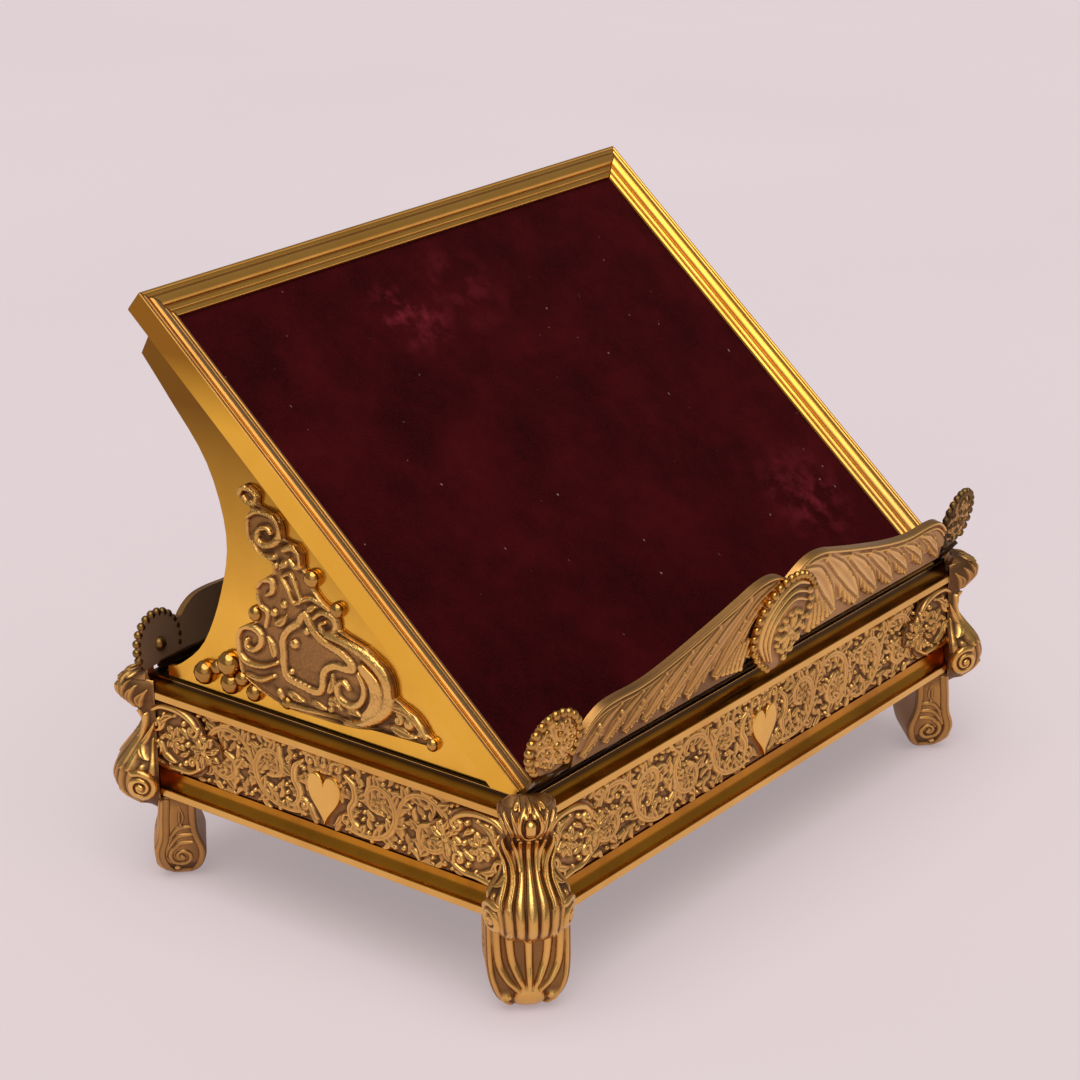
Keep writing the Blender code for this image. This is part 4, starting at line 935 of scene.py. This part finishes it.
for side, hand in HANDS.items():
    def up_rail(spot):
        return spot + desk(0.0, DESK_LONG - 2 * GAP - (DESK_HALF - abs(spot.x)), 0.0) - desk(0.0, 0.0, 0.0)

    rail = drawn(frame_profile, lambda a, n: desk(hand * (DESK_HALF - a), GAP, n), up_rail)
    cut(rail, Vector((0.0, 0.0, BASE_TOP + GAP)), Vector((0.0, 0.0, -1.0)))
    set_frame_rail(side, rail, left_rail_shade_brass if side == "left" else frame_brass, Vector((hand, 0.0, 0.0)))
rail = drawn(frame_profile, lambda a, n: desk(DESK_HALF - GAP - a, DESK_LONG - a, n),
             lambda spot: Vector((-spot.x, spot.y, spot.z)))
set_frame_rail("top", rail, top_brass, desk(0.0, 1.0, 0.0) - desk(0.0, 0.0, 0.0))

# Book board: a plain wooden board that carries the velvet, let in between the rails of the frame.
# Its back shows from behind and below.
dress("book_board", wood)

# Velvet: burgundy cotton velvet, stretched over the board and tucked under the frame.
# The nap is crushed in clouds, worn pink where books have rubbed it, and holds a little lint.
VELVET_HALF, VELVET_LONG, VELVET_T = 163.9 * MM, 266.4 * MM, 1.4 * MM
SLACK, SETTLED = 0.12 * MM, 0.15 * MM
velvet, tree, shader = new_material("velvet", 0.0)
clouds = noise(tree, 22.0, 8.0, 0.68)
fibres = noise(tree, 1300.0, 2.0, 0.6)
nap = mixed(tree, remap(tree, clouds, 0.36, 0.68, 0.0, 1.0), (0.013, 0.0005, 0.0008), (0.052, 0.0021, 0.0033))
where = tree.nodes.new("ShaderNodeTexCoord")
# (across, up the slope, reach, strength) of each rubbed patch
for x, u, reach, strength in ((-33.3 * MM, 219.6 * MM, 26 * MM, 0.9), (118 * MM, 58 * MM, 34 * MM, 0.65),
                              (8 * MM, 225 * MM, 30 * MM, 0.35)):
    gap = tree.nodes.new("ShaderNodeVectorMath")
    gap.operation = "DISTANCE"
    gap.inputs[1].default_value = desk(x, u, UNDER_LIP)
    tree.links.new(where.outputs["Object"], gap.inputs[0])
    patch = tree.nodes.new("ShaderNodeMath")
    patch.operation = "MULTIPLY"
    tree.links.new(remap(tree, gap.outputs["Value"], reach, 0.15 * reach, 0.0, strength), patch.inputs[0])
    tree.links.new(remap(tree, noise(tree, 90.0, 4.0, 0.6), 0.46, 0.66, 0.0, 1.0), patch.inputs[1])
    nap = mixed(tree, patch.outputs[0], nap, (0.20, 0.018, 0.028))
nap = mixed(tree, remap(tree, fibres, 0.35, 0.75, 0.0, 0.5), nap, (0.075, 0.0035, 0.0055))
lint = remap(tree, noise(tree, 420.0, 1.0, 0.4, (1.0, 0.55, 0.8)), 0.80, 0.83, 0.0, 0.55)
paint(tree, shader, mixed(tree, lint, nap, (0.42, 0.26, 0.27)), remap(tree, clouds, 0.3, 0.7, 0.98, 0.86))
for label, value in (("Specular IOR Level", 0.05), ("Sheen Weight", 0.07), ("Sheen Roughness", 0.45),
                     ("Sheen Tint", (0.80, 0.10, 0.12, 1.0))):
    shader.inputs[label].default_value = value
bump(tree, shader, fibres, 0.5, 0.5 * MM)
bm = bmesh.new()
bmesh.ops.create_grid(bm, x_segments=130, y_segments=106, size=0.5)
bmesh.ops.solidify(bm, geom=list(bm.faces), thickness=0.01)
for vert in bm.verts:
    x, u = vert.co.x * 2 * VELVET_HALF, (vert.co.y + 0.5) * VELVET_LONG + GAP
    under = vert.co.z < -0.005
    slack = SLACK * (math.sin(x * 71.0 + 2.0 * math.sin(u * 40.0)) * math.sin(u * 55.0 + 1.3))
    vert.co = desk(x, u, UNDER_LIP - VELVET_T if under else UNDER_LIP - SETTLED + slack)
for item in bm.faces:
    item.smooth = True
cut(bm, Vector((0.0, 0.0, BASE_TOP + GAP)), Vector((0.0, 0.0, -1.0)))
cloth = settle("velvet_sheet", bm, velvet, ["velvet_cover"], crease=60)

# Ledge strips: plain bent brass strips that carry the galleries, soldered along the desk and behind it.
# The front one lies in the shade of the gallery, with dust along its foot. Their brass is painted dark,
# partly as that shade and partly as dirt.
dirt_and_shade_brass, tree, shader = new_material("dirt_and_shade_brass", 1.0)
stains = remap(tree, noise(tree, 34.0, 5.0, 0.6), 0.34, 0.60, 0.0, 1.0)
soot_and_shade = mixed(tree, stains, (0.24, 0.125, 0.030), (0.045, 0.030, 0.018))
dust = remap(tree, noise(tree, 260.0, 4.0, 0.65, (0.35, 1.0, 1.0)), 0.57, 0.64, 0.0, 0.8)
paint(tree, shader, mixed(tree, dust, soot_and_shade, (0.30, 0.285, 0.27)), remap(tree, dust, 0.0, 1.0, 0.34, 0.9))
tree.links.new(remap(tree, dust, 0.0, 1.0, 1.0, 0.0), shader.inputs["Metallic"])
bump(tree, shader, noise(tree, 700.0, 3.0, 0.6), 0.25, 0.4 * MM)
for strip in ("front_ledge_strip", "rear_gallery_strip"):
    dress(strip, dirt_and_shade_brass)

# Gallery arms: cast brass plates with a wavy crest, chased with a long leaf that hangs over a plain foot.
# A doubled bright rim follows the crest. Front and rear galleries are cast from the same pattern.
ARM_INNER, ARM_OUTER, ARM_CREST, ARM_T, ARM_LAP = 0.6, 144.0, 46.0, 1.8, 3.2
ARM_RUBBED, ARM_RELIEF, RIM_DEEP, EYE_R, BLADE_END = 0.7, 0.85, 5.2, 1.6, 131.0
# Beside the shell the foot is cut away.
HOLLOW_END, HOLLOW_SLOPE, HOLLOW_TALL = 25.0, 5.0, 6.5
# The crest as (share of the length, share of the height)
CREST = curve([
    (0.000, 0.840), (0.022, 0.885), (0.058, 0.945), (0.100, 0.985), (0.145, 0.990), (0.195, 0.966),
    (0.255, 0.912), (0.350, 0.828), (0.450, 0.746), (0.560, 0.660), (0.675, 0.588), (0.765, 0.560),
    (0.860, 0.566), (0.925, 0.545), (0.970, 0.475), (1.000, 0.390)], 6)
CREST = np.column_stack([ARM_INNER + (ARM_OUTER - ARM_INNER) * CREST[:, 0], ARM_CREST * CREST[:, 1]])
STRIP_T, STRIP_TOP = 2.0 * MM, 9.0 * MM
lip = desk(0.0, -GAP - STRIP_T, STRIP_TOP)
rear_y = MID_Y + HALF_D - 0.7 * RAIL_T
GALLERIES = {"front": (lip.y - GAP, lip.z + GAP, math.radians(12.0), -1),
             "rear": (rear_y + STRIP_T + GAP, BASE_TOP + 3 * GAP, math.radians(4.0), 1)}


def gallery_point(gallery, x, s, c):
    """A point of a gallery: x along it, s up its face and c out from it."""
    oy, oz, lean, facing = GALLERIES[gallery]
    y = oy + facing * (s * math.sin(lean) + c * math.cos(lean)) * MM
    return np.column_stack([x * MM, y, oz + (s * math.cos(lean) - c * math.sin(lean)) * MM])


def crest_at(x):
    return np.interp(x, CREST[:, 0], CREST[:, 1])


def foot_at(x):
    """Top of the plain foot, which the teeth of the leaf hang over."""
    return 0.15 * crest_at(x) + 1.2


# A doubled rim follows the crest. Below it the leaf runs outwards in blades with teeth, veins and two eyes.
# (along the blade, down it, length) of each tooth
TEETH = ((0.40, 0.32, 0.46), (0.56, 0.48, 0.45), (0.72, 0.66, 0.38), (0.88, 0.85, 0.26))
arm_strokes = [(CREST - (0, down), np.full(len(CREST), wide), rise, 0.0)
               for down, wide, rise in ((1.0, 1.15, 2.6), (3.9, 0.95, 2.2))]
arm_veins = []
blade_x = -9.0
while blade_x < BLADE_END:
    tall = crest_at(blade_x) - RIM_DEEP - foot_at(blade_x)
    run = tall + 6.0

    def on_blade(along, down):
        x = min(blade_x + along * run, ARM_OUTER - 1.0)
        top = crest_at(x) - RIM_DEEP
        return np.array((x, top - down * (top - foot_at(x))))

    blade = stem([on_blade(0.0, -0.02), on_blade(0.36, 0.20), on_blade(0.72, 0.55), on_blade(1.0, 0.98)],
                 np.array((0.12, 0.25, 0.24, 0.06)) * tall, 2.7, 0.22, 8)
    arm_strokes.append(blade)
    ahead = np.gradient(blade[0], axis=0)
    across = np.column_stack([-ahead[:, 1], ahead[:, 0]]) / np.hypot(*ahead.T)[:, None]
    for share in (-0.5, 0.5):
        vein = blade[0] + across * share * blade[1][:, None]
        arm_veins.append((vein, np.full(len(ahead), 0.62), 0.95, 0.0))
    for along, down, reach in TEETH:
        root = on_blade(along, down)
        tip = root + np.array((0.34, -0.94)) * reach * tall
        arm_strokes.append(leaf(root, tip, 0.16, 0.105 * tall, 2.5, 0.30))
    for along, down, size in ((0.60, 0.26, 1.0), (0.69, 0.39, 0.8)):
        arm_strokes.append(bead(on_blade(along, down), size * EYE_R, 2.6 + 1.0 * size))
    blade_x += 0.40 * run + 6.5
# A fringe of five ribs, each with a bead at its foot, hangs beside the shell.
for j in range(5):
    arm_strokes.append(stem([(25 + 3.4 * j, 17), (27 + 3.5 * j, 10), (27.5 + 3.6 * j, 3.2 + 0.7 * j)],
                            (1.1, 1.5, 1.5), 2.8, 0.2))
    arm_strokes.append(bead((27.5 + 3.6 * j, 3.0 + 0.7 * j), 1.7, 3.1))


def arm_height(x, h):
    ground = 1.0 * np.clip((h - 0.18 * crest_at(x) - 3.0) / 0.8, 0, 1)
    return np.maximum(np.maximum(ground, raised(x, h, arm_strokes)) - raised(x, h, arm_veins), 0.0)


tarnished, tree, shader = new_material("tarnished_brass", 0.35)
stain = noise(tree, 45.0, 5.0, 0.6)
paint(tree, shader, mixed(tree, stain, (0.21, 0.118, 0.068), (0.42, 0.255, 0.155)),
      remap(tree, stain, 0.3, 0.7, 0.58, 0.40))
for gallery in GALLERIES:
    for side, hand in HANDS.items():
        def arm_face(u, v):
            x = ARM_INNER + (ARM_OUTER + ARM_LAP - ARM_INNER) * u
            low = np.interp(x, (HOLLOW_END - HOLLOW_SLOPE, HOLLOW_END), (HOLLOW_TALL, 0.0))
            h = low + (crest_at(x) - low) * v
            high = once("arm", lambda: arm_height(x, h))
            return (gallery_point(gallery, hand * x, h, ARM_T + high * ARM_RELIEF), high + ARM_RUBBED,
                    gallery_point(gallery, hand * x, h, np.zeros(x.shape)))

        # Painted light: the right arms are toned brighter than the left ones.
        casting(gallery + "_gallery_" + side, (360, 104), arm_face, [gallery + "_arm_" + side],
                deep=2.4, blur=6, tone=0.15 if hand < 0 else 0.34, rear=tarnished)

# End fans: small beaded fans turned back at the ends of each gallery, cast with rows of berries.
# They are soldered to the arm and stand over the end of the strip.
FAN_R, FAN_BACK, FAN_T = 16.2, math.radians(6.0), 2.2
FAN_PLATE, FAN_CURLS, CURLS_AT, BOSS_R = FAN_R - 1.4, 7, 8.3, 3.4
FAN_AXIS = {"front": FAN_R, "rear": 0.62 * FAN_R}
FAN_FOOT = {"front": 1.9, "rear": 0.9}
# (how many, distance from the middle, radius, height) of the berries in each ring
BERRIES = ((22, FAN_R - 1.9, 2.1, 1.6), (11, FAN_R - 6.2, 1.75, 2.3), (5, FAN_R - 11.0, 1.7, 2.7),
           (1, 0.0, 2.1, 3.2))
fan_strokes = flower((0, 0), 11.4, FAN_CURLS, 1.0, 0.3)
for k in range(FAN_CURLS):
    turn = k * math.tau / FAN_CURLS + 0.75
    spot = (CURLS_AT * math.cos(turn), CURLS_AT * math.sin(turn))
    fan_strokes.append(curl(spot, 2.4, 1.1, k * 51, 1, (0.8, 0.5), 1.4))


def fan_point(gallery, hand, a, b, c):
    x = ARM_OUTER + 0.3 + a * math.cos(FAN_BACK) + c * math.sin(FAN_BACK)
    return gallery_point(gallery, hand * x, b, c * math.cos(FAN_BACK) - a * math.sin(FAN_BACK))


for gallery in GALLERIES:
    for side, hand in HANDS.items():
        middle = (FAN_R, FAN_AXIS[gallery])

        def fan_face(u, v):
            a, b = disc(u, v, FAN_PLATE)
            high = 0.3 + 0.9 * np.clip(1 - np.hypot(a, b) / FAN_PLATE, 0, 1) + raised(a, b, fan_strokes)
            b = np.maximum(middle[1] + b, FAN_FOOT[gallery] + 0.4 * (v < 0.02))
            return (fan_point(gallery, hand, middle[0] + a, b, FAN_T * 0.7 + high), high,
                    fan_point(gallery, hand, middle[0] + a, b, np.zeros(a.shape)))

        berries = []
        for count, reach, radius, lift in BERRIES:
            for k in range(count):
                turn = 2 * math.pi * (k + 0.5 * (count % 2)) / count
                spot = (middle[0] + reach * math.cos(turn), middle[1] + reach * math.sin(turn))
                if spot[1] > FAN_FOOT[gallery] + radius:
                    berries.append((Vector(fan_point(gallery, hand, *spot, lift)[0]), radius * MM))
        berries.append((Vector(fan_point(gallery, hand, *middle, 0.4)[0]), BOSS_R * MM))
        # Painted shade: the right fans are toned dark, and every fan but the near one has dull berries of a
        # darker brass.
        near = gallery == "front" and hand < 0
        casting(gallery + "_beaded_fan_" + side, (46, 46), fan_face, [gallery + "_fan_" + side],
                blur=3, pearls=berries, tone=0.24 if hand < 0 else 0.06, rear=tarnished,
                pearl_surface=pearl_brass if near else deck_dust_and_shade_brass)

# Shells: beaded shells over the joint of the two arms in the middle of each gallery.
# Curved bands and a small flower in a ring of beads fill the face, and pearls run round its edge.
SHELL_R, SHELL_TAPER, SHELL_STAND = 25.5, 0.45, ARM_T + 1.7
SHELL_PEARLS, PEARLS_FROM, PEARLS_TO = 34, 0.16 * math.pi, 1.36 * math.pi
SHELL_LOW = {"front": -8.5, "rear": 1.2}
ROSETTE, ROSETTE_R, ROSETTE_BEADS = np.array((5.2, -5.6)), 7.6, 14
shell_strokes = flower(ROSETTE, ROSETTE_R, 6, 2.0, 0.35)
shell_strokes += [
    stem([(-14.0, -15), (-18.6, -4), (-16.6, 8), (-8, 17.0), (3, 20.0), (13, 16.6)],
        (1.0, 1.5, 1.6, 1.6, 1.4, 0.9), 1.7),
    stem([(-10.2, -16.5), (-14.6, -6), (-13.0, 5.6), (-5.6, 13.2), (3, 15.6), (13.5, 12.2)],
        (0.9, 1.2, 1.3, 1.3, 1.2, 0.8), 1.6),
    stem([(-6.8, -18.0), (-10.8, -8), (-9.6, 2.8), (-3.4, 9.4), (4, 11.4), (14.5, 7.6)],
        (0.8, 1.1, 1.2, 1.2, 1.1, 0.7), 1.5)]
for k in range(ROSETTE_BEADS):
    turn = 2 * math.pi * k / ROSETTE_BEADS
    spot = ROSETTE + (ROSETTE_R + 2.5) * np.array((math.cos(turn), math.sin(turn)))
    shell_strokes.append(bead(spot, 1.7, 1.9))
for spot in ((16.4, 11.6), (18.6, 7.2), (19.4, 2.4), (19.2, -2.6), (17.6, -7.4), (15.0, -12.0),
             (11.6, -16.4), (7.4, -19.6)):
    shell_strokes.append(bead(spot, 2.0, 2.1))
for gallery in GALLERIES:
    centre_s = SHELL_LOW[gallery] + 1.02 * SHELL_R

    def shell_face(u, v):
        a, b = disc(u, v, SHELL_R - 1.2)
        high = raised(a, b, shell_strokes) + 1.2 * np.clip(1 - np.hypot(a, b) / SHELL_R, 0, 1)
        a = a * (1 - SHELL_TAPER * np.clip(-b / SHELL_R, 0, 1) ** 2)
        return (gallery_point(gallery, a, centre_s + b, SHELL_STAND + 1.1 + high), high,
                gallery_point(gallery, a, centre_s + b, np.full(a.shape, SHELL_STAND)))

    pearls = []
    for k in range(SHELL_PEARLS):
        turn = 2 * math.pi * k / SHELL_PEARLS
        a, b = (SHELL_R - 1.7) * math.cos(turn), (SHELL_R - 1.7) * math.sin(turn)
        a *= 1 - SHELL_TAPER * max(0.0, -b / SHELL_R) ** 2
        if PEARLS_FROM < turn < PEARLS_TO:
            pearls.append((Vector(gallery_point(gallery, a, centre_s + b, SHELL_STAND + 1.6)[0]), 2.0 * MM))
    casting(gallery + "_beaded_shell", (96, 96), shell_face, [gallery + "_shell"],
            deep=1.6, blur=5, pearls=pearls, tone=0.42)

# Studio: a pale pink paper floor in even, soft overhead light, with a dim room all round.
# The broad overhead light and the room together light white paper to about white.
FLOOR_HALF, PAPER_LIFT = 40.0, 0.42
floor_mesh = bpy.data.meshes.new("floor")
bm = bmesh.new()
bmesh.ops.create_grid(bm, x_segments=1, y_segments=1, size=FLOOR_HALF)
bm.to_mesh(floor_mesh)
bm.free()
floor = bpy.data.objects.new("floor", floor_mesh)
bpy.context.scene.collection.objects.link(floor)
paper, tree, shader = new_material("paper", 0.0)
pink = mixed(tree, noise(tree, 2.0, 3.0, 0.5), (0.765, 0.660, 0.683), (0.805, 0.697, 0.720))
tree.links.new(pink, shader.inputs["Base Color"])
shader.inputs["Roughness"].default_value = 0.9
shader.inputs["Specular IOR Level"].default_value = 0.1
# The paper is seen a little brighter in its shadows than it is lit, by the camera and in the metal.
path = tree.nodes.new("ShaderNodeLightPath")
seen = tree.nodes.new("ShaderNodeMath")
seen.operation = "MAXIMUM"
tree.links.new(path.outputs["Is Camera Ray"], seen.inputs[0])
tree.links.new(path.outputs["Is Glossy Ray"], seen.inputs[1])
glow = tree.nodes.new("ShaderNodeEmission")
tree.links.new(pink, glow.inputs["Color"])
blended = tree.nodes.new("ShaderNodeMixShader")
tree.links.new(remap(tree, seen.outputs[0], 0.0, 1.0, 0.0, PAPER_LIFT), blended.inputs[0])
tree.links.new(shader.outputs[0], blended.inputs[1])
tree.links.new(glow.outputs[0], blended.inputs[2])
tree.links.new(blended.outputs[0], tree.nodes["Material Output"].inputs["Surface"])
floor_mesh.materials.append(paper)


def lamp(name, towards, spread, level):
    light = bpy.data.lights.new(name, "SUN")
    light.angle, light.energy = math.radians(spread), level * math.pi
    light.color = (1.0, 0.985, 0.975)
    holder = bpy.data.objects.new(name, light)
    bpy.context.scene.collection.objects.link(holder)
    holder.rotation_euler = (-Vector(towards)).to_track_quat("-Z", "Y").to_euler()


lamp("overhead", (-0.24, -0.16, 0.95), 62.0, 0.63)
lamp("camera_side", (-0.75, -0.45, 0.55), 60.0, 0.13)
sky = bpy.data.worlds.new("studio")
bpy.context.scene.world = sky
sky.use_nodes = True
room = sky.node_tree.nodes["Background"]
room.inputs["Color"].default_value = (0.93, 0.91, 0.92, 1.0)
room.inputs["Strength"].default_value = 0.29
lens = bpy.data.cameras.new("camera")
lens.lens, lens.sensor_width = 93.33, 36.0
camera = bpy.data.objects.new("camera", lens)
bpy.context.scene.collection.objects.link(camera)
right = Vector((0.61569636, -0.78790582, -0.01106389))
up = Vector((0.28798143, 0.21192461, 0.93389221))
back = Vector((-0.73347439, -0.57818023, 0.35738346))
eye = Vector((-0.969418, -0.748726 + MID_Y, 0.604209))
camera.matrix_world = Matrix([(*row, eye[k]) for k, row in enumerate(zip(right, up, back))]
                             + [(0.0, 0.0, 0.0, 1.0)])
bpy.context.scene.camera = camera
bpy.context.scene.view_settings.view_transform = "Standard"
